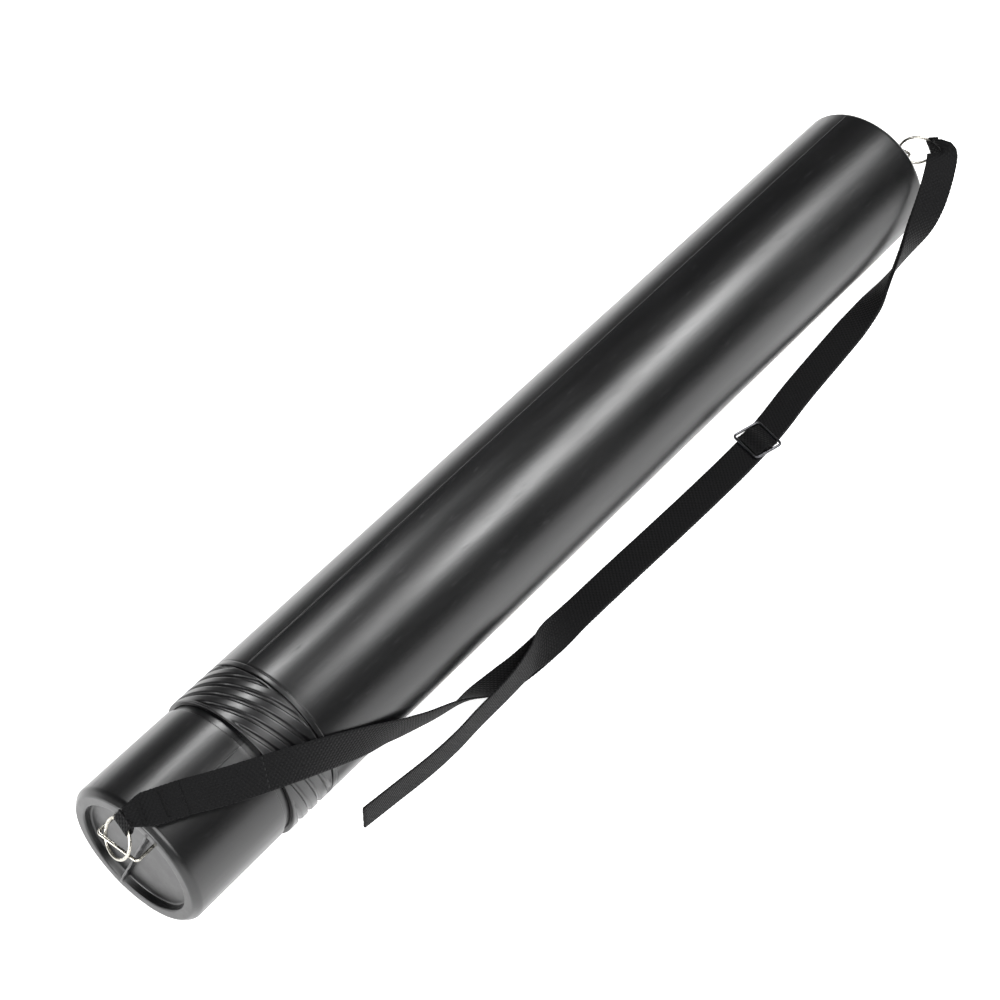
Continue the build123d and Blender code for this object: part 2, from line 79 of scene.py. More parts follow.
def unit(rows: Array) -> Array:
    """Scale each row vector to length one."""
    return rows / np.linalg.norm(rows, axis=-1, keepdims=True)


def smooth(low: float, high: float, value: Array) -> Array:
    """Ease from 0 at `low` to 1 at `high` by 3t^2 - 2t^3."""
    t = np.clip((value - low) / (high - low), 0.0, 1.0)
    return t * t * (3.0 - 2.0 * t)


def signed_power(value: Array, power: float) -> Array:
    """|value|^power with the sign of value, which squares or rounds off a section."""
    return np.sign(value) * np.abs(value) ** power


def distances(line: Array) -> Array:
    """Distance along a line at each of its points, from 0."""
    return np.concatenate([[0.0], np.cumsum(np.linalg.norm(np.diff(line, axis=0), axis=1))])


def add_node(tree: bpy.types.NodeTree, kind: str, feeds: Optional[dict[Any, Any]] = None,
             **settings: Any) -> bpy.types.Node:
    """Add one shader node, set it and wire what feeds it.

    Args:
        tree: node tree that takes the node.
        kind: node type name.
        feeds: socket name or number to a value, or to the socket that drives it.
        settings: node properties.

    Returns:
        The new node.
    """
    node = tree.nodes.new(kind)
    for key, value in settings.items():
        setattr(node, key, value)
    for key, value in (feeds or {}).items():
        if isinstance(value, bpy.types.NodeSocket):
            tree.links.new(value, node.inputs[key])
        else:
            node.inputs[key].default_value = value
    return node


def make_mesh(name: str, points: Array, wrap: tuple[bool, bool], uv: Optional[Array] = None,
              weld: bool = True) -> bpy.types.Object:
    """Build a smooth quad mesh from a grid of points.

    The faces join point (i, j) to its neighbours (i+1, j), (i+1, j+1), (i, j+1).

    Args:
        name: object name.
        points: array of rows by columns by three.
        wrap: whether rows and columns close on themselves.
        uv: rows by columns by two, carried per point.
        weld: merge points that coincide, which closes poles.

    Returns:
        The linked object.
    """
    rows, columns = points.shape[:2]
    i = np.arange(rows if wrap[0] else rows - 1)
    j = np.arange(columns if wrap[1] else columns - 1)
    gi, gj = np.meshgrid(i, j, indexing="ij")
    ni, nj = (gi + 1) % rows, (gj + 1) % columns
    quads = np.stack([gi * columns + gj, ni * columns + gj, ni * columns + nj, gi * columns + nj], -1)
    mesh = bpy.data.meshes.new(name)
    mesh.from_pydata(points.reshape(-1, 3).tolist(), [], quads.reshape(-1, 4).tolist())
    if uv is not None:
        layer = mesh.uv_layers.new(name="UVMap")
        loops = np.empty(len(mesh.loops), dtype=np.int32)
        mesh.loops.foreach_get("vertex_index", loops)
        layer.data.foreach_set("uv", uv.reshape(-1, 2)[loops].ravel())
    tidy_mesh(mesh, weld)
    thing = bpy.data.objects.new(name, mesh)
    bpy.context.scene.collection.objects.link(thing)
    return thing


def tidy_mesh(mesh: bpy.types.Mesh, weld: bool) -> None:
    """Merge doubles, drop flat faces, turn faces outwards and shade smooth.

    Args:
        mesh: mesh to finish.
        weld: whether to merge points that coincide.
    """
    work = bmesh.new()
    work.from_mesh(mesh)
    if weld:
        bmesh.ops.remove_doubles(work, verts=work.verts, dist=1e-7)
        bmesh.ops.dissolve_degenerate(work, dist=1e-8, edges=work.edges)
    bmesh.ops.recalc_face_normals(work, faces=work.faces)
    work.to_mesh(mesh)
    work.free()
    mesh.polygons.foreach_set("use_smooth", np.ones(len(mesh.polygons), dtype=bool))
    mesh.update()


def dress(thing: bpy.types.Object, finish: bpy.types.Material) -> None:
    """Give a piece one material."""
    thing.data.materials.clear()
    thing.data.materials.append(finish)


def place(thing: bpy.types.Object, body: str, slot: str, *nodes: str) -> None:
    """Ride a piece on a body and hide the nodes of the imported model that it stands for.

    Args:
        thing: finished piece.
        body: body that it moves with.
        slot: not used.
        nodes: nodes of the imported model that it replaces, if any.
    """
    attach(thing, body)
    if nodes:
        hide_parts(*nodes)


# ---------------------------------------------------------------- finishes
def empty_material(name: str) -> tuple[bpy.types.Material, bpy.types.NodeTree]:
    """Make a material with no nodes yet.

    Args:
        name: material name.

    Returns:
        The material and its node tree.
    """
    material = bpy.data.materials.new(name)
    material.use_nodes = True
    material.node_tree.nodes.clear()
    return material, material.node_tree


class Tone(Enum):
    """Shades of the black plastic: moulded skin, or the sleeve drawn over it."""

    SKIN = "#080809"
    SLEEVE = "#070708"


@dataclass(frozen=True)
class BlowMouldedPolyethylene:
    """HDPE blow-moulded in a blasted mould: satin black, faintly pebbled, lightly scuffed.

    It gives the eye long soft highlights that waver a little along the tube. The real
    pebble is about 0.2 mm and would not show, so it is drawn at 0.55 mm.
    """

    name: str
    tone: Tone
    roughness: float = 0.33
    scuffed: str = "#161617"
    pebble_mm: float = 0.55
    flow_mm: float = 9.0
    scuff_mm: float = 3.846
    scuff_dulling: float = 0.10

    def build(self) -> bpy.types.Material:
        """Pebble bump for the blasted mould, long flow marks, and scuffs that dull the gloss.

        Returns:
            The finished material.
        """
        material, tree = empty_material(self.name)
        place = add_node(tree, "ShaderNodeTexCoord")
        pebble = add_node(tree, "ShaderNodeTexNoise", {
            "Vector": place.outputs["Object"], "Scale": 1.0 / (self.pebble_mm * MM), "Detail": 2.0})
        stretch = add_node(tree, "ShaderNodeMapping", {
            "Vector": place.outputs["Object"], "Scale": (0.12, 1.0, 1.0)})
        flow = add_node(tree, "ShaderNodeTexNoise", {
            "Vector": stretch.outputs[0], "Scale": 1.0 / (self.flow_mm * MM), "Detail": 3.0})
        scuff_map = add_node(tree, "ShaderNodeMapping", {
            "Vector": place.outputs["Object"], "Rotation": (0.0, 0.4, 0.7), "Scale": (0.25, 1.6, 1.0)})
        scuff = add_node(tree, "ShaderNodeTexNoise", {
            "Vector": scuff_map.outputs[0], "Scale": 1.0 / (self.scuff_mm * MM), "Detail": 4.0,
            "Roughness": 0.7})
        worn = add_node(tree, "ShaderNodeMapRange", {
            "Value": scuff.outputs["Fac"], "From Min": 0.60, "From Max": 0.74})
        dulled = add_node(tree, "ShaderNodeMath", {0: worn.outputs[0], 1: self.scuff_dulling},
                          operation="MULTIPLY")
        mottled = add_node(tree, "ShaderNodeMapRange", {
            "Value": flow.outputs["Fac"], "From Min": 0.3, "From Max": 0.7,
            "To Min": self.roughness - 0.03, "To Max": self.roughness + 0.05})
        rough = add_node(tree, "ShaderNodeMath", {0: mottled.outputs[0], 1: dulled.outputs[0]},
                         operation="ADD")
        tint = add_node(tree, "ShaderNodeMix", {
            "Factor": worn.outputs[0], 6: linear(self.tone.value), 7: linear(self.scuffed)},
            data_type="RGBA")
        fine = add_node(tree, "ShaderNodeBump", {
            "Height": pebble.outputs["Fac"], "Strength": 0.22, "Distance": 0.05 * MM})
        broad = add_node(tree, "ShaderNodeBump", {
            "Height": flow.outputs["Fac"], "Strength": 0.25, "Distance": 0.25 * MM,
            "Normal": fine.outputs[0]})
        shader = add_node(tree, "ShaderNodeBsdfPrincipled", {
            "Base Color": tint.outputs[2], "Roughness": rough.outputs[0], "IOR": 1.54,
            "Normal": broad.outputs[0]})
        add_node(tree, "ShaderNodeOutputMaterial", {"Surface": shader.outputs[0]})
        return material


@dataclass(frozen=True)
class WovenPolypropyleneWebbing:
    """Black polypropylene webbing: plain weave of fat yarns with a soft fibre sheen.

    It gives the eye a dull, ribbed band, darker than the plastic. The yarns are at the
    coarse end of such webbing, so that the weave shows.
    """

    name: str = "woven_polypropylene_webbing"
    # hollow: painted shade between the yarns; crown: painted highlight on the yarn tops
    hollow_painted_shade: str = "#020203"
    crown: str = "#0b0b0c"
    warp_mm: float = 1.5
    weft_mm: float = 1.3
    fibre_mm: float = 0.35

    def build(self) -> bpy.types.Material:
        """Yarn bumps cross over and under along the strap's own length and width.

        The height is sin(along) * sin(across) + 0.8 |sin(across)| + 0.7 noise, so that
        each yarn rises over one neighbour and dives under the next. The same height also
        sets the colour: painted shade darkens the hollows between the yarns and a painted
        highlight lightens the crowns.

        Returns:
            The finished material.
        """
        material, tree = empty_material(self.name)
        place = add_node(tree, "ShaderNodeUVMap", uv_map="UVMap")
        split = add_node(tree, "ShaderNodeSeparateXYZ", {0: place.outputs[0]})
        along = add_node(tree, "ShaderNodeMath", {0: split.outputs[0], 1: math.pi / (self.weft_mm * MM)},
                         operation="MULTIPLY")
        across = add_node(tree, "ShaderNodeMath", {0: split.outputs[1], 1: math.pi / (self.warp_mm * MM)},
                          operation="MULTIPLY")
        wave_along = add_node(tree, "ShaderNodeMath", {0: along.outputs[0]}, operation="SINE")
        wave_across = add_node(tree, "ShaderNodeMath", {0: across.outputs[0]}, operation="SINE")
        crossing = add_node(tree, "ShaderNodeMath", {0: wave_along.outputs[0], 1: wave_across.outputs[0]},
                            operation="MULTIPLY")
        groove = add_node(tree, "ShaderNodeMath", {0: wave_across.outputs[0]}, operation="ABSOLUTE")
        yarn = add_node(tree, "ShaderNodeMath", {0: groove.outputs[0], 1: 0.8, 2: crossing.outputs[0]},
                        operation="MULTIPLY_ADD")
        fibre = add_node(tree, "ShaderNodeTexNoise", {
            "Vector": place.outputs[0], "Scale": 1.0 / (self.fibre_mm * MM), "Detail": 3.0,
            "Roughness": 0.7})
        height = add_node(tree, "ShaderNodeMath", {0: fibre.outputs["Fac"], 1: 0.7, 2: yarn.outputs[0]},
                          operation="MULTIPLY_ADD")
        bump = add_node(tree, "ShaderNodeBump", {
            "Height": height.outputs[0], "Strength": 0.8, "Distance": 0.22 * MM})
        # painted shade and highlight: the yarn height darkens the colour in the hollows and lightens it on
        # the crowns
        shade = add_node(tree, "ShaderNodeMapRange", {
            "Value": height.outputs[0], "From Min": -0.8, "From Max": 1.9})
        tint = add_node(tree, "ShaderNodeMix", {
            "Factor": shade.outputs[0], 6: linear(self.hollow_painted_shade), 7: linear(self.crown)}, data_type="RGBA")
        shader = add_node(tree, "ShaderNodeBsdfPrincipled", {
            "Base Color": tint.outputs[2], "Roughness": 0.68, "Specular IOR Level": 0.14,
            "Sheen Weight": 0.03, "Sheen Roughness": 0.4, "Normal": bump.outputs[0]})
        add_node(tree, "ShaderNodeOutputMaterial", {"Surface": shader.outputs[0]})
        return material


@dataclass(frozen=True)
class DrawnWire:
    """Drawn steel wire, nickel plated, bright or dull: a sharp gleam broken by worn spots.

    The plating's own grain would not show, so the spots are drawn 1.1 mm across.
    """

    name: str
    colour: str
    worn_colour: str
    roughness: float
    spot_mm: float = 1.1

    def build(self) -> bpy.types.Material:
        """Fine spotting breaks up the plating's shine where it is handled.

        Returns:
            The finished material.
        """
        material, tree = empty_material(self.name)
        place = add_node(tree, "ShaderNodeTexCoord")
        spots = add_node(tree, "ShaderNodeTexNoise", {
            "Vector": place.outputs["Object"], "Scale": 1.0 / (self.spot_mm * MM), "Detail": 4.0,
            "Roughness": 0.65})
        worn = add_node(tree, "ShaderNodeMapRange", {
            "Value": spots.outputs["Fac"], "From Min": 0.50, "From Max": 0.68})
        rough = add_node(tree, "ShaderNodeMapRange", {
            "Value": spots.outputs["Fac"], "From Min": 0.3, "From Max": 0.7,
            "To Min": self.roughness - 0.05, "To Max": self.roughness + 0.15})
        tint = add_node(tree, "ShaderNodeMix", {
            "Factor": worn.outputs[0], 6: linear(self.colour), 7: linear(self.worn_colour)},
            data_type="RGBA")
        bump = add_node(tree, "ShaderNodeBump", {
            "Height": spots.outputs["Fac"], "Strength": 0.25, "Distance": 0.03 * MM})
        shader = add_node(tree, "ShaderNodeBsdfPrincipled", {
            "Base Color": tint.outputs[2], "Roughness": rough.outputs[0], "Metallic": 1.0,
            "Normal": bump.outputs[0]})
        add_node(tree, "ShaderNodeOutputMaterial", {"Surface": shader.outputs[0]})
        return material


@dataclass(frozen=True)
class TwistedThread:
    """Bonded polyester thread: twisted plies catch a little light.

    The real twist is finer and would not show, so its bands are drawn 0.7 mm apart.
    """

    name: str = "twisted_polyester_thread"
    colour: str = "#060607"
    twist_mm: float = 0.698

    def build(self) -> bpy.types.Material:
        """A tight diagonal wave reads as the twist: its bands lie 2 pi / (10 * scale) apart.

        Returns:
            The finished material.
        """
        material, tree = empty_material(self.name)
        place = add_node(tree, "ShaderNodeTexCoord")
        twist = add_node(tree, "ShaderNodeTexWave", {
            "Vector": place.outputs["Object"], "Scale": 2 * math.pi / (10 * self.twist_mm * MM),
            "Distortion": 1.0}, bands_direction="DIAGONAL")
        bump = add_node(tree, "ShaderNodeBump", {
            "Height": twist.outputs["Fac"], "Strength": 0.6, "Distance": 0.08 * MM})
        shader = add_node(tree, "ShaderNodeBsdfPrincipled", {
            "Base Color": linear(self.colour), "Roughness": 0.75, "Specular IOR Level": 0.2,
            "Normal": bump.outputs[0]})
        add_node(tree, "ShaderNodeOutputMaterial", {"Surface": shader.outputs[0]})
        return material


@dataclass(frozen=True)
class PaleSweep:
    """Matt white paper on a light table, which shows no edge or shade far from the tube."""

    name: str = "studio_paper"
    colour: str = "#f4f4f4"
    glow: float = 0.85

    def build(self) -> bpy.types.Material:
        """Paper has no gloss, and the light table under it keeps it white to its rim.

        Returns:
            The finished material.
        """
        material = bpy.data.materials.new(self.name)
        material.use_nodes = True
        shader = material.node_tree.nodes["Principled BSDF"]
        shader.inputs["Base Color"].default_value = linear(self.colour)
        shader.inputs["Roughness"].default_value = 0.95
        shader.inputs["Specular IOR Level"].default_value = 0.1
        shader.inputs["Emission Color"].default_value = (1.0, 1.0, 1.0, 1.0)
        shader.inputs["Emission Strength"].default_value = self.glow
        return material


# ---------------------------------------------------------------- turned shells
@dataclass(frozen=True)
class Pocket:
    """Moulded end of a tube: rim, pocket and floor, in millimetres."""

    land: float = 41.0
    radius: float = 35.0
    draft: float = 0.8
    depth: float = 4.5
    wall: float = 1.8


def rounded(points: Sequence[tuple[float, float]], radii: Sequence[float], step: float) -> Array:
    """Outline with its corners rounded and its runs divided evenly.

    Each corner becomes a quadratic curve between the points where a circle of the
    given radius would touch; each run is cut into equal lengths no longer than step.

    Args:
        points: corners of the outline in millimetres.
        radii: one radius for each corner, 0 for a sharp one.
        step: longest piece of a straight run.

    Returns:
        Points along the outline, as rows of two.
    """
    rows = np.asarray(points, dtype=float)
    half = 1 / 2.05  # each corner takes a little under half of a run
    chain: list[Array] = [rows[:1]]
    for k in range(1, len(rows) - 1):
        here, back, on = rows[k], rows[k - 1] - rows[k], rows[k + 1] - rows[k]
        back_length, on_length = np.linalg.norm(back), np.linalg.norm(on)
        turn = math.pi - math.acos(np.clip(back @ on / (back_length * on_length), -1, 1))
        reach = min(radii[k] * math.tan(turn / 2), back_length * half, on_length * half)
        if reach < 1e-6:
            chain.append(here[None])
            continue
        a, b = here + back / back_length * reach, here + on / on_length * reach
        t = np.linspace(0, 1, 7)[:, None]
        chain.append((1 - t) ** 2 * a + 2 * t * (1 - t) * here + t ** 2 * b)
    chain.append(rows[-1:])
    rough = np.concatenate(chain)
    gaps = np.linalg.norm(np.diff(rough, axis=0), axis=1)
    counts = np.maximum(1, np.ceil(gaps / step)).astype(int)
    start = np.repeat(np.arange(len(counts)), counts)
    step_number = np.arange(counts.sum()) - np.repeat(np.cumsum(counts) - counts, counts)
    share = step_number / np.repeat(counts, counts)
    filled = rough[start] + (rough[start + 1] - rough[start]) * share[:, None]
    return np.vstack([filled, rough[-1:]])


def angle_grid(count: int, lines: Sequence[float], spread: float = 1.4, extra: int = 24) -> Array:
    """Angles round a tube in degrees, closer together beside each moulding line.

    Args:
        count: even divisions of the circle.
        lines: angles of the moulding lines.
        spread: degrees each side of a line that get more divisions.
        extra: how many more divisions each line gets.

    Returns:
        Sorted angles from 0 up to 360, the last left out.
    """
    even = np.arange(count) * 360.0 / count
    close = [np.linspace(line - spread, line + spread, extra) for line in lines]
    return np.unique(np.round(np.concatenate([even] + close) % 360.0, 4))


@dataclass
class MouldedShell:
    """Thin shell turned about the tube's axis, with moulding lines and slight waviness."""

    name: str
    axis_height: float = 45.0
    lines: tuple[float, ...] = ()
    line_height: float = 0.12
    line_width: float = 0.45
    wobble: float = 0.05
    divisions: int = 300

    def outline(self) -> Array:
        """Rows of (x, radius) in millimetres, outside first."""
        raise NotImplementedError

    def relief(self, x: Array, radius: Array, angle: Array) -> Array:
        """Extra radius in millimetres at each point; none unless a kind of shell says so."""
        return np.zeros_like(radius)

    def build(self) -> bpy.types.Object:
        """Turn the outline: y = -r cos a, z = height + r sin a, with relief added to r.

        The moulding line adds a Gaussian ridge at its angle, and the waviness a few
        slow sines of x and angle, both only on the outer skin.

        Returns:
            The linked shell.
        """
        profile = self.outline()
        angles = angle_grid(self.divisions, self.lines)
        x, angle = np.meshgrid(profile[:, 0], angles, indexing="ij")
        radius = np.repeat(profile[:, 1:2], len(angles), axis=1)
        skin = self.skin(profile)[:, None]
        offset = self.relief(x, radius, angle)
        for line in self.lines:
            apart = np.radians((angle - line + 180.0) % 360.0 - 180.0) * radius
            offset = offset + skin * self.line_height * np.exp(-(apart / self.line_width) ** 2)
        a = np.radians(angle)
        waves = (np.sin(2 * a + x * 0.011) + 0.6 * np.sin(3 * a - x * 0.023 + 1.0)
                 + 0.4 * np.sin(x * 0.05 + a))
        r = radius + offset + skin * self.wobble * waves
        points = np.stack([x, -r * np.cos(a), self.axis_height + r * np.sin(a)], axis=-1) * MM
        return make_mesh(self.name, points, (False, True))

    def skin(self, profile: Array) -> Array:
        """1 on the plain outer skin, fading to 0 at its ends and inside."""
        raise NotImplementedError


@dataclass
class OuterShell(MouldedShell):
    """Outer tube: ribbed grip collar, long plain barrel and a closed, pocketed base."""

    name: str = "outer_shell"
    lines: tuple[float, ...] = (110.0, 290.0)
    divisions: int = 320
    radius: float = 45.0
    bore: float = 43.5
    collar_bore: float = 42.1
    collar_start: float = -259.5
    lip: float = 1.5
    ribbed: float = 28.0
    run_out: float = 1.5
    end_ring: float = 2.5
    base: float = 331.5
    groove_depth: float = 1.4
    groove_width: float = 2.4
    pitch: float = 7.5
    lead: float = 75.0
    groove_phase: float = -241.9
    pocket: Pocket = field(default_factory=Pocket)

    def outline(self) -> Array:
        """Collar mouth, skin, rounded base edge, pocket, and back along the bore.

        Returns:
            Rows of (x, radius) in millimetres.
        """
        p, end = self.pocket, self.base
        ribs_end = self.collar_start + self.lip + self.ribbed
        collar_end = ribs_end + self.run_out + self.end_ring
        collar = rounded([
            (self.collar_start, self.collar_bore + 0.2), (self.collar_start, self.radius),
            (ribs_end, self.radius)], [0, 0.7, 0], 0.36)
        neck = rounded([
            (ribs_end, self.radius), (ribs_end + 0.2, self.radius - self.groove_depth),
            (ribs_end + self.run_out - 0.2, self.radius - self.groove_depth),
            (ribs_end + self.run_out, self.radius), (collar_end, self.radius),
            (collar_end + 0.5, self.radius - 0.35), (collar_end + 1.6, self.radius - 0.1),
            (collar_end + 6.0, self.radius)], [0, 0.5, 0.5, 0.6, 0.8, 0.6, 2, 0], 0.6)[1:]
        barrel = rounded([
            (collar_end + 6.0, self.radius), (end - 4.0, self.radius), (end, p.land),
            (end, p.radius), (end - p.depth, p.radius - p.draft), (end - p.depth, 0.0)],
            [0, 4.5, 2.2, 1.3, 1.4, 0], 14.0)[1:]
        inside = rounded([
            (end - p.depth - p.wall, 0.0), (end - p.depth - p.wall, p.radius + 1.0),
            (end - p.wall, p.radius + 2.0), (end - p.wall, p.land - 0.5),
            (end - 4.5, self.bore), (collar_end, self.bore), (collar_end - 0.4, self.collar_bore),
            (self.collar_start + 0.4, self.collar_bore), (self.collar_start, self.collar_bore + 0.2)],
            [0, 1, 1, 1, 1, 0.3, 0.3, 0.2, 0], 20.0)
        return np.vstack([collar, neck, barrel, inside])

    def relief(self, x: Array, radius: Array, angle: Array) -> Array:
        """Ten helical grooves: x + lead * angle / 360 is constant along each one.

        Across a groove the depth follows a flattened bell, so that the crests stay
        broad and rounded; the lip and the run-out groove bound them.

        Args:
            x: place along the tube, in millimetres.
            radius: radius before the relief.
            angle: degrees round the tube.

        Returns:
            Millimetres to add to the radius, below zero in a groove.
        """
        start = self.collar_start + self.lip
        turn = (x + self.lead * angle / 360.0 - self.groove_phase) / self.pitch
        apart = np.abs((turn + 0.5) % 1.0 - 0.5) * self.pitch
        bell = 1.0 - smooth(0.25 * self.groove_width, 0.72 * self.groove_width, apart)
        crown = -0.22 * smooth(1.6, 3.8, self.pitch / 2 - apart) * (1 - bell)
        end = start + self.ribbed
        zone = smooth(start - 0.3, start + 0.7, x) * (1 - smooth(end - 0.6, end + 0.1, x))
        skin = radius > self.radius - 0.3
        return np.where(skin, zone * (crown - self.groove_depth * bell), 0.0)

    def skin(self, profile: Array) -> Array:
        """The barrel between the collar and the base's rounded edge.

        Args:
            profile: rows of (x, radius).

        Returns:
            1 on the plain barrel, easing to 0 beyond it.
        """
        x, r = profile[:, 0], profile[:, 1]
        past_collar = smooth(self.collar_start + self.ribbed + 2, self.collar_start + self.ribbed + 8, x)
        lengthwise = past_collar * (1 - smooth(self.base - 6, self.base - 3, x))
        return lengthwise * (r > self.radius - 0.6)


@dataclass
class CapShell(MouldedShell):
    """Push-on cap: tapered skin, rounded end with a pocket, and a plain bore."""

    name: str = "cap_shell"
    lines: tuple[float, ...] = (68.0, 248.0)
    line_height: float = 0.16
    wobble: float = 0.06
    end: float = -331.5
    length: float = 67.0
    end_radius: float = 44.0
    mouth_radius: float = 43.5
    bore: float = 42.1
    pocket: Pocket = field(default_factory=Pocket)

    def outline(self) -> Array:
        """Mouth, skin, rounded edge, pocket, and back along the bore.

        Returns:
            Rows of (x, radius) in millimetres.
        """
        p, end, mouth = self.pocket, self.end, self.end + self.length
        outside = rounded([
            (mouth, self.bore + 0.25), (mouth, self.mouth_radius), (mouth - 3.0, self.mouth_radius + 0.02),
            (end + 3.4, self.end_radius), (end, p.land), (end, p.radius),
            (end + p.depth, p.radius - p.draft), (end + p.depth, 0.0)],
            [0, 0.5, 0, 4.2, 2.2, 1.3, 1.4, 0], 4.0)
        inside = rounded([
            (end + p.depth + p.wall, 0.0), (end + p.depth + p.wall, p.radius + 1.0),
            (end + p.wall, p.radius + 2.0), (end + p.wall, p.land - 0.8),
            (end + 4.2, self.bore), (mouth - 0.4, self.bore), (mouth, self.bore + 0.25)],
            [0, 1, 1, 1, 1, 0.3, 0], 12.0)
        return np.vstack([outside, inside])

    def skin(self, profile: Array) -> Array:
        """The outer side between the mouth and the rounded edge.

        Args:
            profile: rows of (x, radius).

        Returns:
            1 on the plain side, easing to 0 beyond it.
        """
        x, r = profile[:, 0], profile[:, 1]
        mouth = self.end + self.length
        lengthwise = smooth(self.end + 2.5, self.end + 6, x) * (1 - smooth(mouth - 3, mouth - 1, x))
        return lengthwise * (r > self.bore + 0.8)


@dataclass
class InnerShell(MouldedShell):
    """Inner tube: plain barrel with a stop bead and a guide bead."""

    name: str = "inner_shell"
    lines: tuple[float, ...] = (68.0, 248.0)
    line_height: float = 0.05
    wobble: float = 0.01
    radius: float = 42.0
    wall: float = 1.5
    bead_radius: float = 43.2
    bead_length: float = 6.0
    ramp: float = 1.2
    start: float = -324.0
    stop: float = 215.3
    tail: float = 319.2

    def outline(self) -> Array:
        """Mouth, skin with two beads, tail, and back along the bore.

        Returns:
            Rows of (x, radius) in millimetres.
        """
        r, b, s = self.radius, self.bead_radius, self.stop
        inner = r - self.wall
        return rounded([
            (self.start, inner), (self.start, r), (s - self.ramp, r), (s, b), (s + self.bead_length, b),
            (s + self.bead_length + self.ramp, r), (self.tail - self.bead_length - self.ramp, r),
            (self.tail - self.bead_length, b), (self.tail, b), (self.tail, inner), (self.start, inner)],
            [0, 0.5, 0.4, 0.4, 0.4, 0.4, 0.4, 0.4, 0.4, 0.3, 0], 16.0)

    def skin(self, profile: Array) -> Array:
        """The outer side clear of its ends."""
        x, r = profile[:, 0], profile[:, 1]
        return smooth(self.start + 2, self.start + 6, x) * (x < self.stop - 4) * (r > self.radius - 0.6)


@dataclass
class SeamWeb:
    """Pinched-off web across an end, left where the two mould halves close."""

    name: str
    end: float
    inward: float
    angle: float = 68.0
    half_length: float = 40.2
    width: float = 1.7
    proud: float = 0.55
    depth: float = 4.5
    axis_height: float = 45.0

    def build(self) -> bpy.types.Object:
        """Carry an arched section along the diameter.

        The section is a half superellipse standing on the pocket's floor; the crest
        sinks towards the rim's outer edge, and the line wanders by a tenth of a
        millimetre as trimmed plastic does.

        Returns:
            The linked seam.
        """
        s = np.linspace(-1, 1, 121)
        t = np.linspace(0, 2 * np.pi, 20, endpoint=False)
        along = s * self.half_length
        across = 0.5 * self.width * signed_power(np.cos(t), 0.55)
        up = signed_power(np.sin(t), 0.7)
        fade = 1 - smooth(0.86, 1.0, np.abs(s))
        top = self.proud * fade + 0.12 * np.sin(along * 0.35) * fade
        bottom = -(self.depth + 0.6) + (self.depth + 0.2) * smooth(0.83, 0.9, np.abs(s))
        middle, half = (top + bottom) / 2, (top - bottom) / 2
        closing = np.sqrt(np.clip(1 - np.abs(s) ** 40, 0, 1))
        height = middle[:, None] + half[:, None] * up[None] * closing[:, None]
        drift = (0.15 * np.sin(along * 0.19) + 0.1 * np.sin(along * 0.6))[:, None]
        side = across[None] * closing[:, None] * (1 + 0.12 * np.sin(along * 0.45))[:, None] + drift
        d = math.radians(self.angle)
        x = self.end - self.inward * height
        y = -math.cos(d) * along[:, None] + math.sin(d) * side
        z = self.axis_height + math.sin(d) * along[:, None] + math.cos(d) * side
        return make_mesh(self.name, np.stack([x, y, z], -1) * MM, (False, True))


# ---------------------------------------------------------------- wire rings
@dataclass
class WireRing:
    """Round wire ring, butt welded, leaning on its bail."""

    name: str
    centre: tuple[float, float, float]
    normal: tuple[float, float, float]
    pull: tuple[float, float, float]
    radius: float = 10.7
    wire: float = 0.9
    weld_angle: float = 2.35
    weld_reach: float = 0.9
    weld_swell: float = 0.10

    def axes(self) -> tuple[Array, Array, Array]:
        """Work out the ring's own directions.

        Returns:
            Unit vectors: towards the strap's pull, across it, and the ring's facing.
        """
        face = unit(np.array(self.normal))
        pull = np.array(self.pull)
        pull = unit(pull - face * (pull @ face))
        return pull, np.cross(face, pull), face

    def build(self) -> bpy.types.Object:
        """Torus whose wire swells over the weld as a Gaussian of the distance from it.

        Returns:
            The linked ring.
        """
        pull, across, face = self.axes()
        u = np.linspace(0, 2 * np.pi, 144, endpoint=False)[:, None]
        v = np.linspace(0, 2 * np.pi, 20, endpoint=False)[None]
        from_weld = np.abs((u - self.weld_angle + np.pi) % (2 * np.pi) - np.pi) * self.radius
        wire = self.wire * (1 + self.weld_swell * np.exp(-(from_weld / self.weld_reach) ** 2))
        out = self.radius + wire * np.cos(v)
        lift = wire * np.sin(v)
        spoke = np.cos(u)[..., None] * pull + np.sin(u)[..., None] * across
        spot = np.array(self.centre) + out[..., None] * spoke + lift[..., None] * face
        return make_mesh(self.name, spot * MM, (True, True))


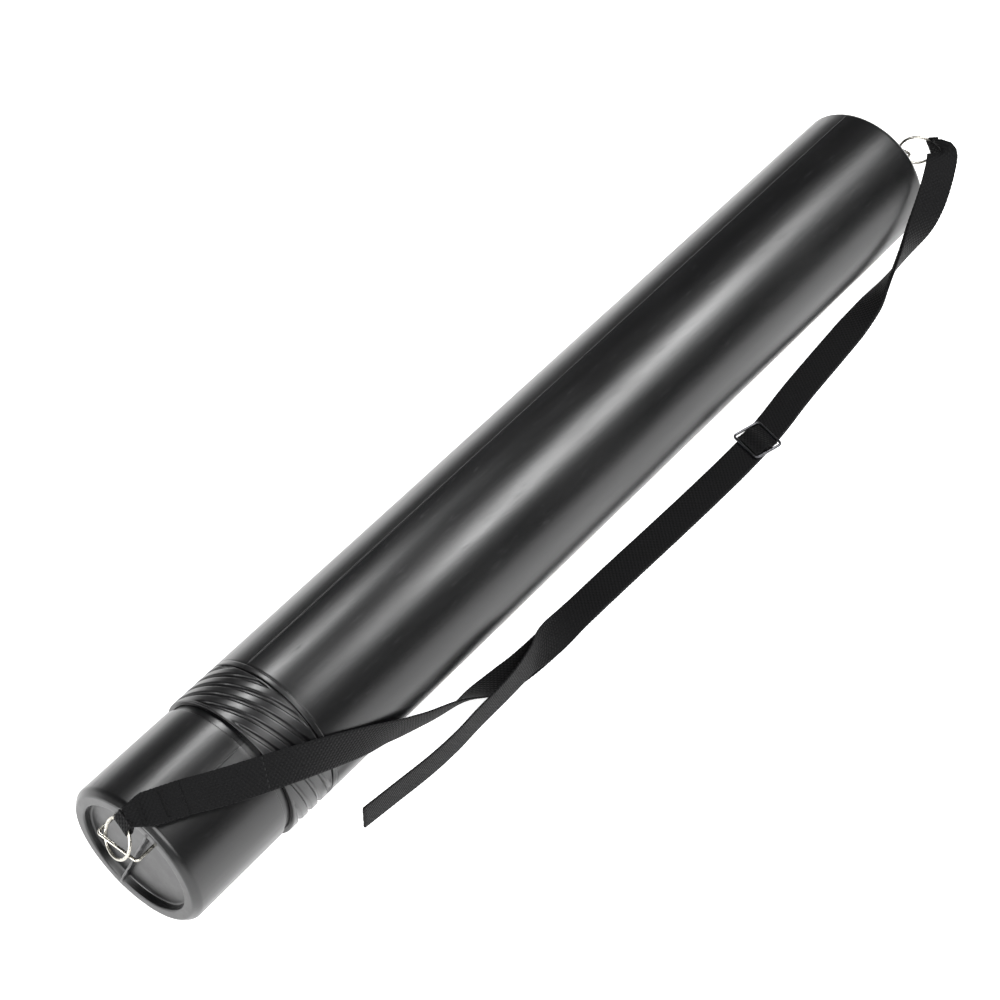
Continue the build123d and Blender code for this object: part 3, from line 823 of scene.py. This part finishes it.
# ---------------------------------------------------------------- webbing
@dataclass
class Ribbon:
    """Stretch of webbing: its middle line, the way its upper face looks, and its width."""

    name: str
    line: Array
    face: Array
    width: Any = 19.0
    thickness: float = 1.4
    cup: Any = 0.0
    start_mark: float = 0.0
    nibble: float = 0.012
    nibble_pitch: float = 2.6
    selvedge: float = 0.08

    def build(self) -> bpy.types.Object:
        """Carry a flat section with rounded selvedges along the line.

        The section's half width follows |cos|^0.55 and its half thickness |sin|^0.45,
        so the faces stay flat and the edges round; cup bows the section out of its
        plane with the square of the place across it. The edges swell a little and are
        nibbled at each weft yarn. The end rows are doubled and closed, so the ends are
        flat. U is the distance along the line and V the place across it, in metres.

        Returns:
            The linked stretch of webbing.
        """
        doubled = np.concatenate([[0], np.arange(len(self.line)), [len(self.line) - 1]])
        way = unit(np.gradient(np.asarray(self.line, float), axis=0))[doubled]
        line, n = np.asarray(self.line, float)[doubled], len(doubled)
        face = self.face[doubled]
        face = unit(face - way * np.sum(face * way, axis=1, keepdims=True))
        side = np.cross(face, way)
        t = np.linspace(0, 2 * np.pi, 40, endpoint=False)
        flat, thick = signed_power(np.cos(t), 0.55), signed_power(np.sin(t), 0.45)
        width = np.broadcast_to(np.asarray(self.width, float), (n - 2,))[doubled][:, None]
        cup = np.broadcast_to(np.asarray(self.cup, float), (n - 2,))[doubled][:, None]
        mark = distances(line)
        beat = np.sin(mark * 2 * np.pi / self.nibble_pitch)[:, None]
        nibble = 1 + self.nibble * beat * (np.abs(flat) > 0.9)
        selvedge = 1 + self.selvedge * (np.abs(flat)[None] > 0.86)
        close = np.ones(n)
        close[[0, -1]] = 0.0
        across = 0.5 * width * flat[None] * nibble
        up = 0.5 * self.thickness * thick[None] * selvedge + cup * (flat[None] ** 2 - 0.5)
        sideways = (across * close[:, None])[..., None] * side[:, None]
        outwards = (up * close[:, None])[..., None] * face[:, None]
        points = line[:, None] + sideways + outwards
        uv = np.stack([np.broadcast_to(mark[:, None] + self.start_mark, across.shape), across], -1)
        return make_mesh(self.name, points * MM, (False, True), uv * MM)

    def length(self) -> float:
        """Length of the middle line in metres."""
        return float(distances(self.line)[-1]) * MM


def spline_line(name: str, route: Sequence[tuple[float, float, float]]) -> Array:
    """Points read from one smooth NURBS spline through a route's control points.

    Args:
        name: name of the short-lived curve.
        route: control points in millimetres.

    Returns:
        Points along the spline in millimetres.
    """
    curve = bpy.data.curves.new(name, "CURVE")
    curve.dimensions = "3D"
    curve.resolution_u = 10
    spline = curve.splines.new("NURBS")
    spline.points.add(len(route) - 1)
    points = np.hstack([np.asarray(route) * MM, np.ones((len(route), 1))])
    spline.points.foreach_set("co", points.ravel())
    spline.order_u = 3
    spline.use_endpoint_u = True
    holder = bpy.data.objects.new(name, curve)
    bpy.context.scene.collection.objects.link(holder)
    bpy.context.view_layer.update()
    mesh = bpy.data.meshes.new_from_object(holder)
    out = np.empty(len(mesh.vertices) * 3)
    mesh.vertices.foreach_get("co", out)
    bpy.data.objects.remove(holder)
    bpy.data.curves.remove(curve)
    bpy.data.meshes.remove(mesh)
    return out.reshape(-1, 3) / MM


def even_line(line: Array, step: float) -> Array:
    """Space a line's points evenly by length, without changing its course.

    Args:
        line: points in millimetres.
        step: distance between the new points.

    Returns:
        The new points.
    """
    mark = distances(line)
    want = np.linspace(0, mark[-1], max(4, int(mark[-1] / step)))
    return np.stack([np.interp(want, mark, line[:, k]) for k in range(3)], -1)


def facing_along(line: Array, route: Array, faces: Array) -> Array:
    """Blend the faces set at a route's points along its spline, by share of length.

    The faces run straight from point to point, then a raised-cosine window rounds
    the changes off.

    Args:
        line: points along the spline.
        route: the spline's control points.
        faces: facing at each control point.

    Returns:
        One unit facing for each point of the line.
    """
    mark, knot = distances(line), distances(route)
    share, knots = mark / mark[-1], knot / knot[-1]
    blended = np.stack([np.interp(share, knots, faces[:, k]) for k in range(3)], -1)
    reach = 6
    kernel = np.hanning(2 * reach + 1)
    kernel /= kernel.sum()
    padded = np.pad(blended, ((reach, reach), (0, 0)), mode="edge")
    return unit(np.stack([np.convolve(padded[:, k], kernel, mode="valid") for k in range(3)], -1))


# ---------------------------------------------------------------- the strap
STRAP_WIDTH = 19.0
LAYER_STEP = 1.55          # from one layer's middle to the next one's
FOLD_REACH = 15.0          # ring's middle to where its two layers lie flat
FOLD_WIDTH = 12.0          # where the webbing bunches in a ring
SEWN_END_X = -307.5        # where the sewn layer stops
CAP_SHARE_X = -265.5       # webbing beyond here doesn't travel with the cap
ADJUSTER = (133.6, -61.0)
TUBE_END = 331.5           # half of the closed tube's length
CAP_RING = WireRing("cap_ring_wire", (-340.3, -2.3, 76.5), (-0.86, 0.25, 0.44), (0.43, -0.14, 0.89))
BASE_RING = WireRing("base_ring_wire", (345.8, -26.0, 68.3), (0.84, 0.54, 0.0), (0.5, -0.777, 0.38))

# Rows of (x, y, z), then the way that the webbing's upper face looks there.
STRAP_ROUTE = [
    ((-326.5, -8.7, 91.2), (0.25, 0.15, -0.93)), ((-318.0, -12.8, 90.3), (0, 0.28, -0.96)),
    ((-307.5, -17.0, 88.4), (0, 0.37, -0.93)), ((-286.5, -26.0, 83.0), (0, 0.56, -0.83)),
    ((-265.5, -33.0, 77.0), (0, 0.71, -0.70)), ((-243.5, -39.3, 69.5), (0, 0.85, -0.53)),
    ((-221.5, -43.8, 59.5), (0, 0.95, -0.30)), ((-200.5, -46.4, 47.5), (0, 1.0, -0.05)),
    ((-182.5, -47.0, 36.5), (0, 0.96, 0.28)), ((-165.5, -47.0, 25.0), (0, 0.92, 0.39)),
    ((-144.5, -48.0, 14.6), (0, 0.89, 0.46)), ((-133.5, -49.3, 10.3), (0, 0.84, 0.54)),
    ((-116.5, -51.8, 5.6), (0, 0.42, 0.91)), ((-97.5, -55.0, 1.8), (0, 0.05, 1.0)),
    ((-73.5, -57.3, 1.2), (0, 0, 1)), ((-41.5, -57.2, 1.2), (0, 0, 1)),
    ((-1.5, -58.2, 1.2), (0, 0, 1)), ((38.5, -59.6, 1.2), (0, 0, 1)),
    ((78.5, -60.7, 1.2), (0, 0, 1)), ((113.5, -61.2, 1.2), (0, 0, 1)),
    ((148.5, -60.1, 1.2), (0, 0, 1)), ((178.5, -56.2, 1.2), (0, 0, 1)),
    ((213.5, -53.6, 1.2), (0, 0, 1)), ((246.5, -51.4, 1.5), (0, 0.05, 1)),
    ((270.5, -51.0, 6.0), (-0.1, 0.42, 0.9)), ((287.5, -52.2, 17.5), (-0.2, 0.88, 0.42)),
    ((300.5, -54.1, 32.6), (0.0, 1.0, 0.0)), ((312.5, -55.2, 47.1), (0.45, 0.82, -0.35)),
    ((322.5, -54.0, 59.1), (0.66, 0.60, -0.45)), ((332.5, -50.8, 68.5), (0.80, 0.50, -0.32)),
    ((342.0, -46.6, 74.6), (0.86, 0.48, -0.10)), ((349.0, -42.0, 76.4), (0.86, 0.50, 0.0)),
]
TAIL_ROUTE = [
    ((133.6, -61.0, 2.75), (0, 0, 1)), ((113.5, -61.2, 2.75), (0, 0, 1)),
    ((78.5, -60.7, 2.75), (0, 0, 1)), ((38.5, -59.6, 2.75), (0, 0, 1)),
    ((-1.5, -58.2, 2.75), (0, 0, 1)), ((-31.5, -57.6, 2.8), (0, 0, 1)),
    ((-46.5, -58.0, 3.8), (0, -0.15, 1)), ((-58.5, -59.2, 6.6), (0, -0.42, 0.9)),
    ((-70.5, -61.0, 10.3), (0, -0.72, 0.69)), ((-84.0, -63.0, 13.0), (0, -0.97, 0.20)),
    ((-100.0, -64.8, 12.8), (0, -1, 0.05)), ((-116.0, -64.9, 11.6), (0, -1, 0)),
    ((-133.0, -64.2, 10.6), (0, -1, 0)), ((-151.5, -65.0, 10.0), (0, -1, 0)),
    ((-173.5, -64.0, 9.9), (0, -1, 0)), ((-197.5, -61.0, 9.9), (0, -1, 0)),
    ((-221.5, -58.2, 9.9), (0, -1, 0)),
]


@dataclass
class CarryingStrap:
    """Webbing from the cap's ring through the adjuster and the base's ring, and its free end."""

    webbing: bpy.types.Material
    thread: bpy.types.Material
    width: float = STRAP_WIDTH
    thickness: float = 1.4
    step: float = 1.3
    bunching: float = 12.0      # length over which the width changes beside a ring
    layers_meet: float = 16.0   # length over which the sewn layers come together
    free_end_mark: float = 300.0
    hump_mark: float = 40.0

    def course(self) -> tuple[Array, Array]:
        """Main line and facing, from the cap's ring to the base's ring.

        Returns:
            Points in millimetres, and the facing at each.
        """
        pull, _, face = CAP_RING.axes()
        first = (tuple(np.array(CAP_RING.centre) + pull * FOLD_REACH), tuple(-face))
        pull, _, face = BASE_RING.axes()
        last = (tuple(np.array(BASE_RING.centre) + pull * FOLD_REACH - face * LAYER_STEP / 2), tuple(face))
        return self.follow("main_line", [first] + STRAP_ROUTE + [last])

    def follow(self, name: str, rows: Sequence[Any]) -> tuple[Array, Array]:
        """Follow a route's spline in even steps.

        Args:
            name: name of the short-lived curve.
            rows: control points, each with its facing.

        Returns:
            Points in millimetres, and the facing at each.
        """
        route = np.array([row[0] for row in rows])
        faces = unit(np.array([row[1] for row in rows], dtype=float))
        line = even_line(spline_line(name, route.tolist()), self.step)
        return line, facing_along(line, route, faces)

    def widths(self, line: Array, start: Optional[float], end: Optional[float]) -> Array:
        """Width along a stretch, pulled in where it bunches in a ring at either end.

        Args:
            line: points in millimetres.
            start: width at the beginning, if it bunches there.
            end: width at the end, if it bunches there.

        Returns:
            One width for each point.
        """
        mark = distances(line)
        width = np.full(len(line), self.width)
        if start:
            width = width - (self.width - start) * (1 - smooth(0.0, self.bunching, mark))
        if end:
            width = width - (self.width - end) * smooth(mark[-1] - self.bunching, mark[-1], mark)
        return width

    def stretch(self, name: str, line: Array, face: Array, start: Optional[float] = None,
                end: Optional[float] = None, mark: float = 0.0) -> tuple[bpy.types.Object, Ribbon]:
        """Make and dress one length of webbing.

        Args:
            name: object name.
            line: its middle line in millimetres.
            face: the way its upper face looks at each point.
            start: width where it begins, if it bunches there.
            end: width where it ends, if it bunches there.
            mark: distance along the whole strap at which it begins.

        Returns:
            The piece and the ribbon that it was made from.
        """
        ribbon = Ribbon(name, line, face, self.widths(line, start, end), self.thickness, start_mark=mark)
        thing = ribbon.build()
        dress(thing, self.webbing)
        LOG.info("%s: %.0f mm", name, ribbon.length() / MM)
        return thing, ribbon

    def declare(self, ribbon: Ribbon) -> None:
        """Work out a stretch's own length, which is not kept.

        Args:
            ribbon: what it was made from.
        """
        ribbon.length()

    def fold(self, name: str, ring: WireRing) -> Ribbon:
        """Hairpin round a ring's wire: a line that runs out, round and back.

        The line starts where the two layers lie flat, follows a half circle about
        the wire, and returns; its facing is away from the wire.

        Args:
            name: name of the piece.
            ring: ring that it turns in.

        Returns:
            The fold, ready to build.
        """
        pull, _, face = ring.axes()
        centre = np.array(ring.centre)
        clearance, seat = 0.15, 9.9  # seat: ring's middle to the hub of the half circle
        wrap = ring.wire + clearance + self.thickness / 2
        turn = np.linspace(-np.pi / 2, np.pi / 2, 25)
        arc = np.stack([seat - wrap * np.cos(turn), wrap * np.sin(turn)], -1)
        reach = np.linspace(FOLD_REACH + 0.2, seat + 0.3, 12)
        ease = smooth(seat, FOLD_REACH, reach)
        lead = np.stack([reach, -(wrap + (LAYER_STEP / 2 - wrap) * ease)], -1)
        back = lead[::-1] * np.array([1.0, -1.0])
        flat = np.vstack([lead, arc, back])
        line = centre + flat[:, :1] * pull + flat[:, 1:] * face
        way = np.gradient(flat, axis=0)
        out = unit(np.stack([way[:, 1], -way[:, 0]], -1))
        hub = np.array([seat, 0.0])
        out = out * np.sign(np.sum(out * (flat - hub), axis=1, keepdims=True) + 1e-9)
        facing = out[:, :1] * pull + out[:, 1:] * face
        return Ribbon(name, line, facing, FOLD_WIDTH, self.thickness, cup=0.35)

    def build(self) -> None:
        """Make, dress and place every stretch of the strap."""
        line, face = self.course()
        x = line[:, 0]
        sewn = int(np.argmax(x >= SEWN_END_X))
        share = int(np.argmax(x >= CAP_SHARE_X))
        slider = int(np.argmax(x >= ADJUSTER[0]))
        mark = distances(line)

        # The sewn loop: an under layer, an over layer and the turn in the ring.
        lift = LAYER_STEP / 2
        part, facing = line[:sewn + 1], face[:sewn + 1]
        lower, _ = self.stretch("strap_loop_under", part - facing * lift, facing, FOLD_WIDTH)
        upper, _ = self.stretch("strap_loop_over", part + facing * lift, facing, FOLD_WIDTH)
        turned = self.fold("strap_loop_turn", CAP_RING).build()
        dress(turned, self.webbing)
        place(lower, "cap_link", "strap_webbing", "strap_cap_loop")
        place(upper, "cap_link", "strap_webbing")
        place(turned, "cap_link", "strap_webbing")
        held = [lower, upper, turned] + self.stitch(part, facing)

        # Neck of the strap: its layers meet, then it crosses to the inner and outer tubes.
        neck, neck_face = line[sewn:share + 1], face[sewn:share + 1]
        ease = (1 - smooth(0, self.layers_meet, mark[sewn:share + 1] - mark[sewn]))[:, None] * lift
        piece, _ = self.stretch("strap_cap_neck", neck - neck_face * ease, neck_face, mark=mark[sewn])
        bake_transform(piece)
        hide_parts("strap_cap_run")
        held.append(piece)

        front, front_face = line[share:slider + 1], face[share:slider + 1]
        piece, ribbon = self.stretch("strap_front", front, front_face, mark=mark[share])
        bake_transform(piece)
        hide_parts("strap_front_run")
        self.declare(ribbon)

        back, back_face = line[slider:], face[slider:]
        piece, ribbon = self.stretch("strap_back", back, back_face, end=FOLD_WIDTH, mark=mark[slider])
        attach(piece, "outer")
        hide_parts("strap_back_run")
        self.declare(ribbon)
        piece, ribbon = self.stretch("strap_back_over", back + back_face * LAYER_STEP, back_face,
                                     end=FOLD_WIDTH, mark=mark[slider])
        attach(piece, "outer")
        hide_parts("strap_return")
        self.declare(ribbon)

        turned = self.fold("strap_base_turn", BASE_RING).build()
        dress(turned, self.webbing)
        place(turned, "base_link", "strap_webbing", "strap_base_fold")

        tail, tail_face = self.follow("tail_line", TAIL_ROUTE)
        tail_ribbon = Ribbon("strap_tail_run", tail, tail_face, self.width, self.thickness,
                             start_mark=self.free_end_mark)
        piece = tail_ribbon.build()
        dress(piece, self.webbing)
        seal = self.sealed_end(tail, tail_face)
        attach(piece, "outer")
        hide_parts("strap_tail")
        self.declare(tail_ribbon)
        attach(seal, "outer")
        self.over_bar()

    def sealed_end(self, line: Array, face: Array) -> bpy.types.Object:
        """Melted bead across the cut end: a lumpy rounded bar as wide as the webbing.

        The section is an ellipse whose size wavers with two sines of the place across
        the webbing, and closes at the ends as the square root of 1 - v^12.

        Args:
            line: the free end's points in millimetres.
            face: the facing at each.

        Returns:
            The linked bead.
        """
        way = unit(line[-1:] - line[-2:-1])[0]
        side = np.cross(face[-1], way)
        v = np.linspace(-1, 1, 40)[:, None]
        t = np.linspace(0, 2 * np.pi, 16, endpoint=False)[None]
        closing = np.sqrt(np.clip(1 - v ** 12, 0, 1))
        size = (0.78 + 0.07 * np.sin(9 * v) + 0.05 * np.sin(23 * v + 1)) * closing
        spot = (line[-1] + (v * self.width * 0.505)[..., None] * side
                + (size * np.cos(t))[..., None] * face[-1] + (size * 0.8 * np.sin(t))[..., None] * way)
        thing = make_mesh("strap_sealed_end", spot * MM, (False, True))
        dress(thing, self.thread)
        return thing

    def stitch(self, line: Array, face: Array) -> list[bpy.types.Object]:
        """Two bar tacks: raised stitches across the sewn layers.

        Each tack is a thread that zigzags across the webbing, its height a rectified
        cosine, so that it dips into the cloth between turns.

        Args:
            line: points of the sewn stretch in millimetres.
            face: the facing at each.

        Returns:
            The linked tacks.
        """
        stitches, margin, amplitude = 17, 4.5, 0.85
        gap, loft, thread_radius = 0.05, 0.22, 0.27
        s = np.linspace(0, 1, 20 * stitches)
        made: list[bpy.types.Object] = []
        for which, at in (("near", 8), ("far", 17)):  # points back from the sewn layer's end
            base = line[-1 - at]
            normal = -face[-1 - at]
            way = unit((line[-at] - line[-2 - at])[None])[0]
            side = np.cross(normal, way)
            across = (s - 0.5) * (self.width - margin)
            beat = 2 * np.pi * stitches * s
            zig = amplitude * (2 / np.pi) * np.arcsin(np.sin(beat))
            rise = self.thickness / 2 + LAYER_STEP / 2 + gap + loft * np.abs(np.cos(beat))
            path = base + across[:, None] * side + zig[:, None] * way + rise[:, None] * normal
            thing = self.thread_tube(f"strap_tack_{which}", path, thread_radius)
            place(thing, "cap_link", "sewing_thread", *([] if made else ["strap_stitching"]))
            made.append(thing)
        return made

    def thread_tube(self, name: str, path: Array, radius: float) -> bpy.types.Object:
        """Round thread carried along a path, its ends closed.

        Args:
            name: name of the piece.
            path: points in millimetres.
            radius: the thread's radius.

        Returns:
            The linked thread.
        """
        way = unit(np.gradient(path, axis=0))
        up = np.tile(np.array([[0.02, 0.03, 1.0]]), (len(path), 1))
        side = unit(np.cross(way, up))
        top = np.cross(side, way)
        t = np.linspace(0, 2 * np.pi, 8, endpoint=False)
        size = np.full(len(path), radius)
        size[[0, -1]] = 0.0
        spot = (path[:, None] + size[:, None, None] * (np.cos(t)[None, :, None] * side[:, None]
                                                      + np.sin(t)[None, :, None] * top[:, None]))
        thing = make_mesh(name, spot * MM, (False, True))
        dress(thing, self.thread)
        return thing

    def over_bar(self) -> None:
        """Webbing that climbs out of the adjuster over its middle bar and back down.

        Its height is a raised cosine of the distance from the bar; the ends lie clear
        above the upper layer, just inside the two end bars.
        """
        lean = math.radians(15.0)
        reach, slope_reach = 8.3, 6.6      # from the bar to the hump's end, and to its foot
        foot, climb = 4.22, 1.9            # level of its ends, and how far its crest rises
        inset, narrowing, slimmer = 1.0, 0.3, 0.95
        s = np.linspace(-reach, reach, 40)
        way = np.array([math.cos(lean), -math.sin(lean), 0.0])
        width = self.width - inset - narrowing * smooth(3.0, 9.0, np.abs(s))
        level = foot + climb * (0.5 + 0.5 * np.cos(np.pi * np.clip(s / slope_reach, -1, 1)))
        line = np.stack([ADJUSTER[0] + s * way[0], ADJUSTER[1] + s * way[1], level], -1)
        slope = unit(np.gradient(line, axis=0))
        side = np.array([math.sin(lean), math.cos(lean), 0.0])
        facing = unit(np.cross(slope, side))
        facing = facing * np.sign(facing[:, 2:])
        ribbon = Ribbon("strap_over_the_bar", line, facing, width, self.thickness * slimmer,
                        start_mark=self.hump_mark)
        thing = ribbon.build()
        dress(thing, self.webbing)
        place(thing, "adjuster", "strap_webbing", "strap_over_bar")


# ---------------------------------------------------------------- the tube
@dataclass
class TelescopicTube:
    """Outer tube, inner tube and cap, with the seams that blow moulding leaves."""

    skin: bpy.types.Material
    inner_skin: bpy.types.Material

    def build(self) -> None:
        """Turn the three shells and stand the pinched seams on their ends."""
        base_seam = SeamWeb("base_seam_web", TUBE_END, -1.0)
        cap_seam = SeamWeb("cap_seam_web", -TUBE_END, 1.0)
        for shape, finish, body, slot, nodes in (
                (OuterShell(), self.skin, "outer", "outer_polyethylene", ["outer_tube"]),
                (CapShell(), self.skin, "cap_end", "cap_polyethylene", ["cap"]),
                (InnerShell(), self.inner_skin, "inner", "inner_polyethylene", ["inner_tube"]),
                (base_seam, self.skin, "outer", "outer_polyethylene", []),
                (cap_seam, self.skin, "cap_end", "cap_polyethylene", [])):
            thing = shape.build()
            dress(thing, finish)
            place(thing, body, slot, *nodes)
            LOG.info("%s on %s", thing.name, body)


@dataclass
class WireFittings:
    """Bails, rings, washers and the adjuster's wires."""

    nickel: bpy.types.Material
    dull: bpy.types.Material

    def build(self) -> None:
        """Dress the bent wires, and put finer rings with their welds in place of two."""
        for name in ("cap_bail", "base_bail", "cap_bail_washers", "base_bail_washers"):
            self.cover(name, self.nickel)
        for name in ("slider_frame", "slider_bar"):
            self.cover(name, self.dull)
        rings = ((CAP_RING, "cap_ring", "cap_link"), (BASE_RING, "base_ring", "base_link"))
        for ring, node, body in rings:
            thing = ring.build()
            dress(thing, self.nickel)
            place(thing, body, "fitting_wire", node)
            LOG.info("%s on %s", thing.name, body)

    def cover(self, node: str, finish: bpy.types.Material) -> None:
        """Give a node that keeps its own shape a finish."""
        for slot in bpy.data.objects[node].material_slots:
            slot.material = finish


# ---------------------------------------------------------------- the studio
@dataclass
class Studio:
    """Light table in a white room, with a key on the barrel, one on the cap, and fill.

    The lamps' places and sizes, the eye and the way it looks are in metres.
    """

    lens_mm: float = 95.4
    sensor_mm: float = 36.0
    eye: tuple[float, float, float] = (-0.7849, -0.6098, 1.1899)
    gaze: tuple[float, float, float] = (0.50334, 0.40981, -0.76073)
    half_floor: float = 4.0
    flat_floor: float = 3.6
    room_light: float = 0.08

    def build(self) -> None:
        """Lay the floor, hang the lights and set the camera."""
        self.floor()
        self.world()
        self.lights()
        self.camera()

    def floor(self) -> None:
        """Flat sheet of paper with a barely lifted rim: z = lift * (distance past the rim)^2."""
        rule = np.linspace(-self.half_floor, self.half_floor, 60)
        u, v = np.meshgrid(rule, rule, indexing="ij")
        far = np.clip(np.hypot(u, v) - self.flat_floor, 0, None)
        spot = np.stack([u, v, 0.02 * far ** 2 - 0.0004], -1)
        thing = make_mesh("studio_sweep", spot, (False, False))
        if thing.data.polygons[0].normal.z < 0:
            thing.data.flip_normals()
        dress(thing, PaleSweep().build())

    def world(self) -> None:
        """White surround that is itself seen, but lights the tube only faintly."""
        world = bpy.data.worlds.new("white_room")
        bpy.context.scene.world = world
        world.use_nodes = True
        bpy.context.scene.view_settings.view_transform = "Standard"
        tree = world.node_tree
        seen = add_node(tree, "ShaderNodeLightPath")
        strength = add_node(tree, "ShaderNodeMapRange", {
            "Value": seen.outputs["Is Camera Ray"], "To Min": self.room_light})
        tree.links.new(strength.outputs[0], tree.nodes["Background"].inputs["Strength"])
        tree.nodes["Background"].inputs["Color"].default_value = (1.0, 1.0, 1.0, 1.0)

    def lamp(self, name: str, at: tuple[float, float, float], aim: tuple[float, float, float],
             size: tuple[float, float], power: float) -> None:
        """Rectangular soft light at a point, aimed at another, and itself unseen.

        Args:
            name: name of the lamp.
            at: where it hangs.
            aim: point that it faces.
            size: its width and height.
            power: watts.
        """
        light = bpy.data.lights.new(name, "AREA")
        light.shape = "RECTANGLE"
        light.size, light.size_y = size
        light.energy = power
        thing = bpy.data.objects.new(name, light)
        thing.location = at
        thing.rotation_euler = (Vector(aim) - Vector(at)).to_track_quat("-Z", "Y").to_euler()
        thing.visible_camera = False
        bpy.context.scene.collection.objects.link(thing)

    def lights(self) -> None:
        """Key over the barrel, a small one over the cap, a wide floor light and end fill."""
        self.lamp("key_barrel", (0.96, -0.52, 1.45), (0.05, 0.0, 0.05), (0.8, 0.36), 24.0)
        self.lamp("key_cap", (0.06, 0.33, 0.70), (-0.28, 0.0, 0.05), (0.14, 0.12), 2.4)
        self.lamp("floor_light", (-1.5, -1.6, 2.8), (0.0, 0.0, 0.0), (2.4, 2.4), 120.0)
        self.lamp("end_fill", (-1.6, 0.3, 0.25), (-0.33, 0.0, 0.05), (0.9, 0.4), 16.0)

    def camera(self) -> None:
        """Long lens above the cap's corner, looking down along the tube."""
        data = bpy.data.cameras.new("camera")
        data.lens, data.sensor_width = self.lens_mm, self.sensor_mm
        data.clip_start, data.clip_end = 0.05, 50.0
        thing = bpy.data.objects.new("camera", data)
        thing.location = self.eye
        thing.rotation_euler = Vector(self.gaze).to_track_quat("-Z", "Y").to_euler()
        bpy.context.scene.collection.objects.link(thing)
        bpy.context.scene.camera = thing


def main() -> None:
    """Build the studio and every sub-assembly, in order."""
    logging.basicConfig(level=logging.INFO, format="%(name)s: %(message)s")
    Studio().build()
    skin = BlowMouldedPolyethylene("blow_moulded_polyethylene", Tone.SKIN).build()
    sleeve = BlowMouldedPolyethylene("blow_moulded_polyethylene_sleeve", Tone.SLEEVE, 0.30).build()
    TelescopicTube(skin, sleeve).build()
    webbing = WovenPolypropyleneWebbing().build()
    thread = TwistedThread().build()
    CarryingStrap(webbing, thread).build()
    nickel = DrawnWire("nickel_plated_wire", "#b9b6ad", "#7d7a72", 0.24).build()
    dull = DrawnWire("dull_plated_wire", "#5a5a5d", "#38383a", 0.30).build()
    WireFittings(nickel, dull).build()


if __name__ == "__main__":
    main()
